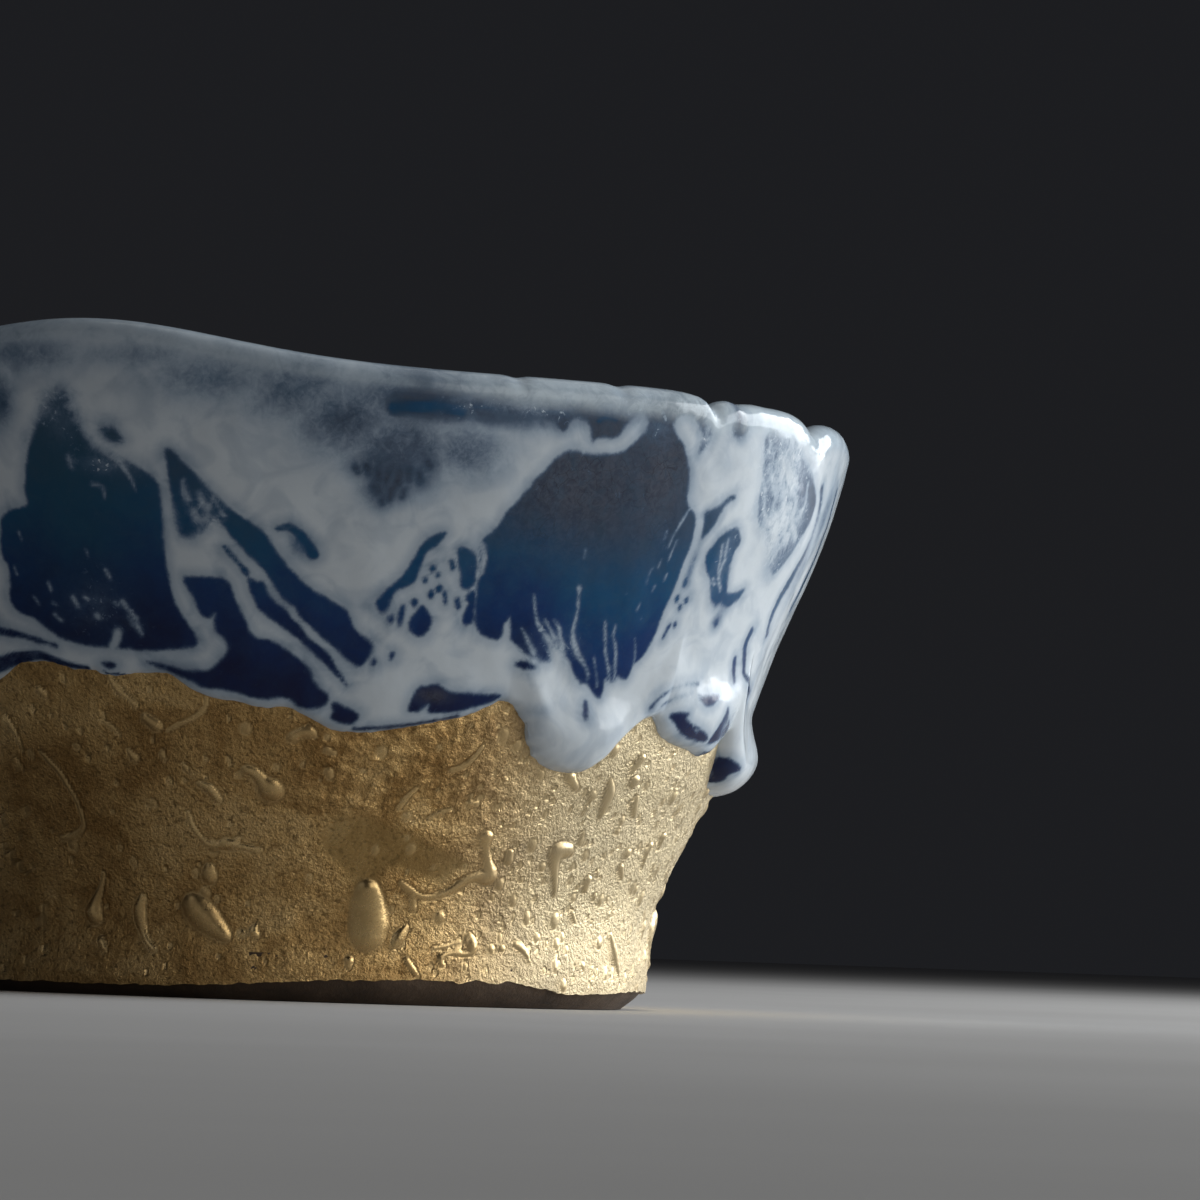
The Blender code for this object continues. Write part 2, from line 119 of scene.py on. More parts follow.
# Dark windows in the white
WINDOWS = (
    # the tall window at the left
    (-16.6, 42, -17.6, 40.8, -18.3, 39, -18.7, 37, -18.8, 35, -18.6, 33.8, -19.5, 33.4, -20.3, 32.8,
     -20.3, 31.5, -20.2, 30.3, -19.7, 29.5, -19.5, 28.3, -19.5, 27.2, -19, 26.4, -18, 26, -17.2, 25.5,
     -16.2, 24.8, -15, 24.3, -13.5, 24.1, -12.5, 24.1, -10.5, 24, -9, 24, -7.5, 24.2, -6.4, 24.5, -6.6,
     25.2, -7.2, 26, -8, 27.2, -8.4, 28.5, -8.8, 30, -9.1, 32, -9.3, 34, -9.6, 35.6, -10.3, 36.3, -11.5,
     37.1, -12.5, 37.4, -13.8, 37.9, -14.6, 38.6, -15.2, 39.6, -15.6, 40.6, -16, 41.6),
    (-13.7, 39.3, -12.9, 39.4, -12.3, 38.9, -12.1, 38.5, -12.9, 38.5, -13.4, 38.9),
    # the slanting window beside it
    (-9, 38.1, -8.8, 36.4, -8.5, 34.8, -8.2, 33.4, -7.8, 32.1, -7.1, 31.9, -6.5, 32.4, -5.7, 33.2, -4.9,
     32.9, -4, 31.9, -3.2, 31.1, -2.4, 30.4, -1.8, 29.8, -1.2, 28.9, -0.4, 27.9, 0.3, 27.4, 0.9, 26.6,
     1.8, 25.8, 2.6, 25.1, 3.4, 24.5, 4.2, 23.8, 4.8, 23.4, 5.3, 23.6, 5.9, 24.8, 5.3, 25.3, 4.7, 25.8,
     4.2, 26.6, 3.8, 27.3, 3, 27.8, 1.9, 28.3, 0.7, 29.2, -0.3, 30.2, -1.4, 31.5, -2.2, 32.6, -3.3, 33.3,
     -4.6, 34.1, -5.9, 35.3, -7.1, 36.5, -8.1, 37.4),
    # the gap between the two slanting veins
    (-2.9, 29.2, -2.4, 29, -1.9, 28.9, -1.6, 28.2, -1.1, 27.6, -0.4, 27.2, 0.1, 26.6, 0.6, 26.1, 1.3,
     25.3, 2.1, 24.7, 2.8, 24.1, 3.2, 23.4, 3.8, 22.6, 4.2, 22, 3.6, 22.5, 2.6, 23.5, 1.8, 24.2, 0.9, 25,
     0, 25.6, -0.8, 26.2, -1.6, 26.7, -2.2, 27.2, -2.6, 28, -2.9, 28.7),
    # the long low navy region
    (-9.8, 23.1, -8.6, 22.95, -7.6, 22.65, -6.9, 22.55, -6.2, 22.6, -5.4, 22.75, -4.8, 23.2, -4.35, 23.8,
     -4.2, 24.4, -4.5, 25, -5, 25.5, -5.2, 26.1, -5.15, 26.7, -5.6, 26.4, -6, 26.5, -6.35, 27, -6.8, 27.9,
     -7.3, 28.6, -7.45, 29.1, -6.6, 29.15, -5.6, 29.15, -4.7, 29.1, -4.2, 28.6, -3.9, 27.8, -3.5, 27,
     -3.05, 26.2, -2.75, 25.5, -2.3, 25.05, -1.5, 24.95, -0.7, 24.6, 0.2, 24.1, 0.9, 23.6, 1.5, 23, 1.8,
     22.3, 2.3, 21.6, 2.9, 21.2, 2.8, 20.7, 2.3, 20.4, 1.6, 20.25, 0.9, 20.4, 0.4, 20.8, -0.2, 21, -0.9,
     20.95, -1.6, 20.85, -2.4, 20.95, -3.2, 21.15, -4.2, 21.35, -5, 21.45, -5.9, 21.5, -6.6, 21.9, -7.4,
     22.25, -8.4, 22.6),
    (-13, 22.9, -12.4, 23, -12, 22.8, -12.4, 22.6),
    # lenses along the lower edge
    (3.3, 20.1, 3.3, 20.7, 3.9, 20.5, 4.6, 20.2, 5.1, 19.9, 4.9, 19.5, 4.3, 19.3, 3.6, 19.4, 3.2, 19.7),
    (8.6, 20.5, 8.8, 21.2, 9.2, 21.9, 9.8, 22.1, 10.5, 22.25, 11, 22, 11.5, 21.75, 12.5, 21.7, 13.5,
     21.65, 14.9, 21.65, 14.3, 21.2, 13.5, 20.95, 12.5, 20.6, 11.5, 20.4, 10.6, 20.3, 10, 20.35, 10, 20.9,
     9.6, 20.7, 9.2, 20.35, 8.8, 20.3),
    (15.9, 23.9, 16.3, 24.1, 16.9, 24, 17.3, 23.7, 16.8, 23.6, 16.2, 23.7),
    # the slit and the cells at the middle
    (6.1, 27.9, 6.4, 28.3, 7, 29, 7.8, 29.7, 8.3, 30.5, 8.8, 31.4, 9.1, 32, 9.6, 32.5, 10.2, 32.8, 10.7,
     32.9, 10.5, 32.5, 10.1, 32, 9.5, 31.7, 9.2, 31.1, 8.9, 30.2, 8.6, 29.4, 8.1, 29.1, 7.4, 28.8, 7,
     28.2, 6.9, 27.6, 6.5, 27.2, 6.2, 27.4),
    (9.3, 27.7, 9.7, 27.3, 9.95, 26.6, 9.7, 26, 9.2, 25.6, 8.7, 25.8, 8.4, 26.4, 8.6, 27, 9, 27.4),
    (11.7, 31.8, 12.1, 31.9, 12.7, 31.6, 13, 31, 12.9, 30.3, 12.9, 29.6, 12.5, 29.1, 12, 29.2, 11.9, 29.9,
     11.8, 30.6, 11.7, 31.2),
    (12.3, 28.4, 12.8, 28.9, 13, 28.4, 12.9, 27.6, 12.9, 27, 12.6, 26.6, 12.2, 26.7, 12.3, 27.4, 12.5, 28),
    # the wide window at the right
    (13.3, 32.3, 14, 33, 14.6, 33.8, 15, 34.6, 15.8, 35.4, 16.6, 36.4, 17.3, 37.3, 18, 38.1, 19, 38.9,
     19.6, 39, 20.5, 38.85, 21.8, 38.85, 22.8, 39, 23.3, 39.3, 23.8, 39.75, 24.3, 40.25, 24.6, 40.7,
     24.75, 41.2, 24.7, 41.7, 25.2, 42.3, 26.4, 42.35, 26.9, 41.95, 26.55, 41.5, 26.45, 41, 26.7, 40.3,
     27.2, 39.7, 27.4, 38.8, 27.6, 37.8, 27.6, 36.8, 27.5, 36, 27.7, 35.3, 28.05, 34.9, 28.15, 34.2, 28,
     33.3, 27.8, 32.4, 27.4, 31.5, 27.1, 30.5, 26.8, 29.6, 26.5, 28.9, 26.2, 28.2, 26, 27.6, 25.8, 27,
     25.6, 26.4, 25.3, 25.7, 25, 25.1, 24.6, 24.6, 24.2, 24.2, 24, 23.7, 23.8, 23.2, 23.4, 23.2, 23.1,
     23.4, 22.8, 23, 22.6, 23, 22.2, 23.2, 22.1, 22.2, 21.8, 21.8, 21.4, 22.2, 21, 22.7, 20.5, 22.8, 20.1,
     23.4, 19.9, 24, 19.5, 24.6, 19.2, 25.1, 18.6, 25.2, 18.3, 25, 18.3, 24.2, 17.6, 24.3, 16.8, 24.6,
     16.1, 25.1, 15.5, 25.8, 15.5, 26.4, 15.3, 27, 15, 26.6, 14.9, 25.9, 14.5, 25.6, 13.7, 25.8, 13.2,
     26.3, 13, 27.2, 13.05, 28.2, 13.1, 29.3, 13.3, 30.2),
    # the strip of thin glaze under the lip, over the finger and round the column's head
    (6.8, 41.4, 8, 41.2, 10, 41.15, 12, 41.1, 14, 41.1, 16, 41.15, 17, 41.3, 18, 41.1, 18.6, 40.5, 18.9,
     40.6, 19.1, 41, 19.5, 41.3, 20, 41.35, 20.4, 41.15, 20.7, 40.6, 20.75, 40, 20.85, 39.75, 21.1, 39.95,
     21.6, 40.05, 22.3, 40.1, 22.7, 40.4, 23, 40.9, 23.4, 41.4, 23.9, 41.8, 24.3, 41.85, 24.65, 41.6, 25,
     41.7, 26, 41.7, 26.8, 41.85, 27.4, 41.95, 27.9, 41.8, 28.3, 41.2, 28.5, 40.6, 28.5, 40, 28.35, 39.2,
     28.8, 39.6, 29.2, 40.6, 29.2, 41.6, 28.8, 42.3, 27.5, 42.6, 25, 42.5, 22, 42.6, 19, 42.4, 16, 42.5,
     12, 42.6, 9, 42.6, 7, 42.2),
    # the misty patch of thin glaze at the far right
    (32.9, 40.2, 33.3, 40.9, 34, 41, 34.8, 40.7, 35.3, 40.1, 35.8, 39.2, 36.2, 38.2, 36.5, 37.2, 36.6, 36,
     36.3, 34.8, 35.6, 33.4, 34.9, 32.2, 34, 31, 33.6, 31.2, 33.4, 32.4, 33.2, 33.6, 32.7, 34.4, 32.6,
     35.6, 32.8, 37, 32.9, 38.6),
    # the chip in the lip
    (30.3, 43.6, 30.5, 42.9, 30.8, 42.3, 30.9, 41.8, 30.7, 41.2, 30.8, 40.6, 31.2, 40.5, 31.7, 41, 31.6,
     41.6, 31.9, 42.1, 31.7, 42.7, 31.6, 43.6),
    # cells in the vein at the right
    (31.1, 33.95, 31.35, 33.5, 31.4, 33.1, 31.2, 32.7, 31, 32.4, 30.9, 32, 30.7, 31.3, 30.6, 30.6, 30.6,
     30, 30.6, 29.4, 31.2, 29.45, 31.9, 29.75, 31.6, 29.2, 31.2, 28.8, 30.7, 28.5, 30.2, 28.7, 29.8, 28.5,
     29.5, 28.9, 29.4, 29.6, 29.35, 30.2, 29.1, 31, 29, 31.6, 29.1, 32.2, 29.5, 32.8, 29.9, 33.3, 30.4,
     33.7, 30.8, 34),
    (28.65, 33.3, 28.8, 34.2, 28.9, 35, 29.3, 35.2, 29.9, 35.6, 30.4, 36.1, 30.8, 36.3, 30.9, 36.1, 30.6,
     35.9, 30.3, 35.6, 29.9, 35, 29.6, 34.4, 29.2, 33.8, 28.8, 33.4),
    (28.8, 22.2, 29.2, 22.1, 29.9, 22.2, 30.3, 22.1, 30, 21.7, 29.6, 21.5, 29.2, 21.6),
    # cells in the run at the far right
    (26.9, 20.7, 27.5, 20.9, 28.2, 20.9, 28, 20.5, 28.3, 20.2, 28.9, 19.9, 29.4, 19.5, 29.55, 19.1, 29.2,
     18.95, 28.6, 19.05, 28, 19.3, 27.5, 19.8, 27.2, 20.2),
    (29.1, 18.2, 29.9, 18.1, 30.4, 17.6, 30.5, 17.2, 30.1, 16.8, 29.8, 16.2, 29.2, 16.3, 29.2, 17, 29.1,
     17.6),
    (31, 21.4, 31.15, 20.6, 31, 19.8, 30.6, 19.3, 30, 18.95, 29.6, 18.9, 30.1, 19.6, 30.5, 20.2, 30.8,
     20.8),
)
# White strands and flecks inside the windows: half width at each end, then the points
STRANDS = (
    (0.35, 0.3, -12.3, 23.9, -12, 24.6, -11.9, 25.1), (0.12, 0.05, -12.2, 37, -11.5, 36, -11, 35),
    (0.16, 0.22, -7.8, 35.9, -7.7, 35.2, -7.4, 34.6), (0.2, 0.14, -6.6, 34.9, -6.4, 34.4, -6, 34.2),
    (0.13, 0.2, -7.1, 33.9, -6.8, 33.4, -6.1, 33.2), (0.14, 0.1, -5, 33.7, -4.7, 33.5),
    (0.12, 0.1, -5.6, 34.7, -5.3, 34.3), (0.12, 0.06, 33.2, 40.6, 33.3, 39.9, 33.1, 39.3),
    (0.1, 0.14, 34.4, 39, 34.6, 38.4, 34.9, 37.8), (0.1, 0.08, 33.7, 36.9, 34, 36.6),
    (0.1, 0.08, 35.2, 37.6, 35.3, 37.3), (0.07, 0.12, 32.9, 37.6, 33.1, 36.4, 33, 35.2, 33.3, 34.4),
    (0.07, 0.15, 33.6, 37.8, 33.8, 36.4, 33.6, 35.2, 33.9, 33.8, 33.8, 32.4),
    (0.07, 0.16, 34.2, 37.4, 34.5, 36, 34.4, 34.6, 34.7, 33.4),
    (0.08, 0.18, 35, 37, 35.2, 35.8, 35, 34.6, 35.3, 33.4), (0.06, 0.14, 36.1, 37.4, 35.9, 36, 35.5, 35),
    (0.05, 0.1, 32.8, 35, 33.6, 34.4, 34.4, 34.4, 35.4, 34.9),
    (0.12, 0.07, 30.3, 31.7, 30.05, 31.1, 29.9, 30.4), (0.1, 0.12, 29.55, 30.4, 29.65, 30),
    (0.3, 0.2, 13.3, 32.1, 13.5, 31.2, 13.3, 30.2),
    (0.12, 0.17, 20.2, 29.4, 20.2, 28.6, 20.15, 27.6, 19.9, 26.4, 20, 25.6, 20.3, 24.8, 20.8, 24, 21.1,
     23.3),
    (0.2, 0.16, 20.2, 29.45, 20.2, 29.2),
    (0.1, 0.16, 22.1, 27.2, 22.15, 26, 22.2, 25, 22.4, 24, 22.6, 23),
    (0.1, 0.17, 22.85, 26.9, 22.7, 26.2, 22.9, 25.2, 22.95, 24, 22.9, 23),
    (0.08, 0.14, 18.5, 27.1, 18.9, 26.6, 19, 26, 19.2, 25.2),
    (0.07, 0.13, 17.9, 27.1, 18.4, 26.2, 19, 25),
    (0.1, 0.19, 17.05, 28.8, 17.2, 27.6, 17.4, 26.8, 17.8, 26.2, 18.4, 25.4, 18.9, 24.6),
    (0.08, 0.2, 15.4, 27.2, 15.4, 26.2, 15.3, 25.4), (0.06, 0.14, 16.3, 26.4, 16.8, 25.5, 17.2, 24.6),
    (0.05, 0.1, 21.4, 24.6, 21.6, 23.5, 21.7, 22.6), (0.05, 0.11, 24.2, 26, 24.3, 25, 24.2, 24),
    (0.07, 0.1, 30.1, 32.8, 30, 31.8, 29.9, 30.8, 30.1, 29.6), (0.06, 0.05, 30.5, 33.2, 30.3, 32),
    (0.05, 0.07, 28.3, 20.7, 28.5, 20.1, 28.9, 19.6), (0.16, 0.1, -15.8, 37.1, -15.6, 36.5),
    (0.14, 0.1, -14.1, 35.4, -13.4, 35.2, -13.2, 34.5), (0.12, 0.16, -15.2, 27.5, -14.8, 26.9),
    (0.13, 0.16, -11.7, 27.3, -11.2, 26.7, -10.7, 26.1), (0.18, 0.14, -10.6, 25.6, -10.2, 25),
    (0.1, 0.12, -16.9, 28.4, -16.7, 27.9), (0.1, 0.1, -17.9, 27.4, -17.5, 26.9),
    (0.1, 0.13, -16.4, 26.2, -15.9, 25.8), (0.1, 0.12, -12.9, 29.4, -12.6, 28.9),
    (0.08, 0.08, -14.4, 30.8, -14.2, 30.4), (0.11, 0.08, -19.1, 31.9, -18.9, 31.4),
    (0.1, 0.09, -19.3, 29.4, -19.1, 28.9), (0.08, 0.06, -13, 29.5, -12.9, 29.4),
    (0.09, 0.08, -14.4, 27.5, -14.2, 27.4), (0.09, 0.06, -12.2, 27.2, -12, 27),
    (0.1, 0.06, -11, 26, -10.9, 25.8), (0.1, 0.08, -13.5, 26.2, -13.3, 26.1),
    (0.09, 0.06, -16.5, 27, -16.3, 26.9), (0.16, 0.07, 27.6, 35, 27, 34, 26.6, 33.2, 26.3, 32.4),
    (0.1, 0.12, 26.9, 33, 26.6, 32.2, 26.4, 31.6), (0.09, 0.07, 26.2, 33.6, 26, 33),
    (0.08, 0.1, 25.9, 31.6, 25.7, 31), (0.09, 0.07, 25.3, 31, 25, 30.4, 24.9, 29.9),
    (0.1, 0.08, 26.3, 30.6, 26.1, 30.1), (0.09, 0.07, 25.5, 29.8, 25.3, 29.3),
    (0.09, 0.07, 24.5, 28.5, 24.3, 28), (0.09, 0.07, 20.6, 32.1, 20.5, 31.6),
    (0.06, 0.05, 23.5, 29.2, 23.5, 29.1), (0.07, 0.05, 24.6, 27.5, 24.6, 27.3),
)
# Dark dots, dashes and slits in the white: half width at each end, then the points
SLITS = (
    (0.13, 0.1, -3.1, 29.6, -3.6, 30.2, -4.2, 30.8, -4.7, 31.3),
    (0.2, 0.08, -20.4, 25, -19, 24.7, -18, 24.5, -17, 24.2, -16.2, 24),
    (0.14, 0.34, -1, 32.8, -0.3, 32.9, 0.3, 32.6, 0.8, 32.1, 1.2, 31.6, 1.5, 31.1),
    (0.14, 0.1, 4.2, 37.3, 4.4, 37), (0.22, 0.16, 5, 37.4, 5.2, 36.9), (0.18, 0.2, 5.8, 37.2, 5.9, 36.6),
    (0.22, 0.16, 6.6, 37.1, 6.5, 36.4), (0.2, 0.22, 7.3, 37, 7.2, 36.3), (0.2, 0.14, 8, 37.2, 8, 36.6),
    (0.16, 0.16, 8.7, 37, 8.8, 36.5), (0.15, 0.12, 5.6, 36, 5.9, 35.6), (0.2, 0.12, 6.8, 35.8, 6.7, 35.2),
    (0.16, 0.12, 7.7, 35.8, 7.6, 35.3), (0.12, 0.1, 6.2, 35.1, 6.2, 34.8),
    (0.16, 0.12, 9.3, 37.8, 9.5, 37.5), (0.16, 0.12, 15.4, 42.9, 16.2, 42.9),
    (0.14, 0.12, 19.7, 42.9, 20.3, 42.9), (0.1, 0.14, 30.9, 42.2, 30.95, 41.7, 30.7, 41.2, 30.8, 40.7),
    (0.13, 0.12, 7.9, 27.6, 7.8, 27, 7.7, 26.4), (0.16, 0.14, 9.9, 30.4, 9.9, 30.3),
    (0.12, 0.12, 10.3, 30, 10.3, 29.9), (0.13, 0.12, 9.4, 29.6, 9.4, 29.5),
    (0.17, 0.15, 9.85, 28.65, 9.85, 28.5), (0.18, 0.16, 10.4, 29.05, 10.4, 28.9),
    (0.12, 0.1, 10.8, 28.7, 10.9, 28), (0.13, 0.1, 11.7, 28.3, 11.8, 27.7),
    (0.19, 0.17, 8.7, 28.05, 8.7, 27.9), (0.14, 0.12, 7.1, 26.75, 7.1, 26.6),
    (0.1, 0.08, 7.3, 24.3, 7.2, 24), (0.1, 0.1, 6, 23.7, 5.95, 23.6), (0.12, 0.1, 11.2, 30.9, 11.3, 30.5),
    (0.13, 0.12, 27.05, 28.95, 27.05, 28.8), (0.12, 0.12, 27.7, 28.85, 27.7, 28.7),
    (0.13, 0.12, 27.3, 28.35, 27.3, 28.2), (0.12, 0.12, 27, 27.15, 27, 27),
    (0.11, 0.08, 26.6, 27, 26.2, 26.2), (0.11, 0.1, 27.6, 30.2, 27.55, 29.9),
    (0.13, 0.12, 29.95, 27.4, 29.95, 27.2),
    (0.24, 0.42, 37, 37, 36.9, 35.6, 36.3, 33.4, 35.3, 31.2, 34.4, 29.4),
    (0.4, 0.18, 34.4, 29.4, 33.9, 28.2, 33.6, 27.2, 33.5, 26.6),
    (0.28, 0.34, 38, 36.8, 37.5, 34.6, 36.7, 32.2, 35.8, 30, 35.2, 28.6),
    (0.04, 0.07, 25.6, 21.2, 26.3, 22, 27.4, 22.7, 28.8, 23),
    (0.03, 0.05, 26.4, 21.4, 27.4, 22, 28.4, 22.3), (0.2, 0.14, 31.3, 24.8, 31.25, 24, 31.35, 23.3),
    (0.27, 0.1, 32.4, 26.8, 32, 25.8, 31.95, 24.6, 32.1, 23.6, 32.4, 22.5),
    (0.18, 0.16, 20.95, 21.3, 20.98, 20.4), (0.07, 0.05, 4.8, 18.95, 7, 19.15, 9.5, 19.55, 12, 20.1),
)
# Bluish rims of thin glaze along the lower edge: half width at each end, then the points
THIN_RIMS = (
    (0.55, 0.15, -21.5, 22, -20, 22.6, -19.2, 23, -18.3, 23.2, -17.3, 23.3, -16.3, 23, -15.2, 22.7, -14,
     22.55),
    (0.1, 0.1, -12.8, 22.3, -12, 22.2, -11.2, 22.2),
)
# Clear blue strips in the brown: half width at each end, then the points
BLUE_STRIPS = (
    (0.5, 0.45, 6.8, 41.6, 8.6, 41.7, 10, 41.8, 11.5, 41.5),
    (0.14, 0.1, 12.5, 41.9, 13.6, 41.8, 14.4, 41.7), (0.1, 0.14, 16.4, 41.7, 18, 41.7, 19, 41.6),
    (0.22, 0.16, 21.2, 41.2, 21.8, 41.5, 22.4, 41.3),
)
# Soft patches, each with centre, half width, half height and strength
# Thin glaze over the dark, and painted shade: the patch at 30.2, 38.4 greys the white where a fold beside
# the column is in shade
VEILS_AND_SHADE = (
    (34.4, 38.6, 1.4, 2.4, 0.35), (33.9, 32.4, 1.1, 1.6, 0.4), (31.4, 41.9, 0.5, 1.3, 0.6),
    (37.2, 35, 1.3, 3.4, 0.45), (35.6, 31, 1.2, 3, 0.4), (37.3, 40.6, 1, 0.6, 0.7),
    (30.2, 38.4, 1.3, 1.2, 0.12), (32.9, 24, 0.9, 2.5, 0.25), (-19, 44.4, 4.5, 1.6, 0.5),
    (-11, 44.6, 5, 1.2, 0.4), (-6, 43.2, 5, 2, 0.48), (0, 42.4, 4.5, 2.4, 0.54),
    (3.4, 40.6, 3.8, 2.8, 0.64), (9, 42.2, 5.5, 1.7, 0.72), (7.5, 38.6, 3.8, 2.8, 0.68),
    (12, 38.8, 3, 2, 0.6), (15.5, 41.8, 4.5, 1.5, 0.7), (22, 42, 4.5, 1.2, 0.5),
    (27.5, 42.3, 2.5, 0.8, 0.3), (6, 35.9, 1.8, 1.6, 0.55), (0.5, 31.6, 0.9, 0.9, 0.5),
    (17.8, 20.7, 1.2, 0.5, 0.3), (28.1, 31.4, 0.5, 1.5, 0.5), (30.1, 27.7, 0.9, 0.9, 0.35),
    (-20.8, 41, 1.2, 2, 0.7), (-3, 41.4, 1.6, 1.6, 0.35), (5.2, 27.5, 0.5, 0.5, 0.25),
)
# Milky haze
HAZES = (
    (12, 42.1, 2, 0.8, 0.4), (16, 42.1, 4.5, 0.9, 0.5), (22, 42.2, 3.5, 0.8, 0.45),
    (19.5, 36.6, 5, 3.6, 0.12), (24, 34, 2.5, 3, 0.14), (25.6, 40.8, 1.3, 1.3, 0.3),
    (28.9, 40.8, 0.6, 1.6, 0.6), (-16.5, 40.3, 1.6, 2.2, 0.35), (-12.8, 37, 2.4, 1, 0.4),
    (-13.5, 27, 3, 2.2, 0.22), (34.5, 38.4, 4.8, 3.6, 0.8), (34.2, 34, 4.4, 3.4, 0.85),
    (37, 34.5, 3.2, 3.8, 0.6), (35.4, 30.5, 1.3, 3.2, 0.5), (34, 28, 1, 1.6, 0.3),
    (31, 41.4, 0.6, 1.2, 0.25), (31.3, 42.2, 0.4, 1.6, 0.4), (27.8, 22.4, 2.4, 1, 0.6),
    (30.3, 32, 1.2, 2.4, 0.3), (29.9, 35.2, 1.2, 1.2, 0.25), (25.8, 40.4, 1.2, 1.5, 0.25),
    (-5.8, 33.6, 1, 1, 0.3), (30.9, 20.2, 0.9, 1.3, 0.5), (30.2, 31, 1, 2, 0.3),
    (19, 25.6, 3.2, 1.2, 0.2), (-18.5, 23.1, 3.5, 0.7, 0.25), (12.3, 30.6, 0.6, 1, 0.15),
)
# Where the white has no hard edge
SOFT_EDGES = (
    (-6.8, 33.6, 1.6, 2, 0.9), (-14, 38, 2.5, 2, 0.8), (6.4, 25.8, 1.6, 1.5, 0.5),
    (18.5, 25, 3, 1.2, 0.45), (28.5, 32, 0.8, 3, 0.3), (29.8, 28, 1.2, 1.2, 0.6),
    (-12.5, 26, 4, 1.5, 0.3), (30.5, 30.6, 0.9, 1.6, 0.35), (34.4, 35, 2.6, 5, 0.85),
    (6.6, 36.3, 2.6, 1.8, 0.6), (36.6, 33.5, 1.6, 4.5, 0.55), (34.6, 29, 1.3, 2.4, 0.4),
    (28, 22.4, 2.4, 1, 0.35),
)
# Teal glaze
TEALS = (
    (-15.5, 34, 5.5, 9, 0.75), (-19.6, 44.5, 1.5, 1.2, 0.8), (33, 24, 2.2, 5, 0.6), (-9, 44, 9, 3, 0.7),
    (1, 42.6, 4, 1.8, 0.5), (-5, 33, 3, 4, 0.35),
)
# Thin brown glaze with fine cracks
BROWNS = (
    (31.2, 42.4, 0.6, 1.6, 1), (19.8, 36.6, 6, 4.2, 0.95), (25.6, 37.4, 3, 4.6, 0.85),
    (10.2, 21.5, 1.6, 0.5, 0.8), (6, 39.5, 7, 2.6, 0.8), (12.5, 37.6, 2, 2, 0.6), (7, 36.2, 2, 2, 0.7),
    (37.4, 39, 1, 2.5, 0.6), (31.2, 42, 1, 1.4, 0.9), (34.8, 38.5, 1.6, 3, 0.1),
)
# The chip in the lip, without the pale rim
CHIPS = ((31.2, 42.6, 0.55, 1.8, 1.0),)

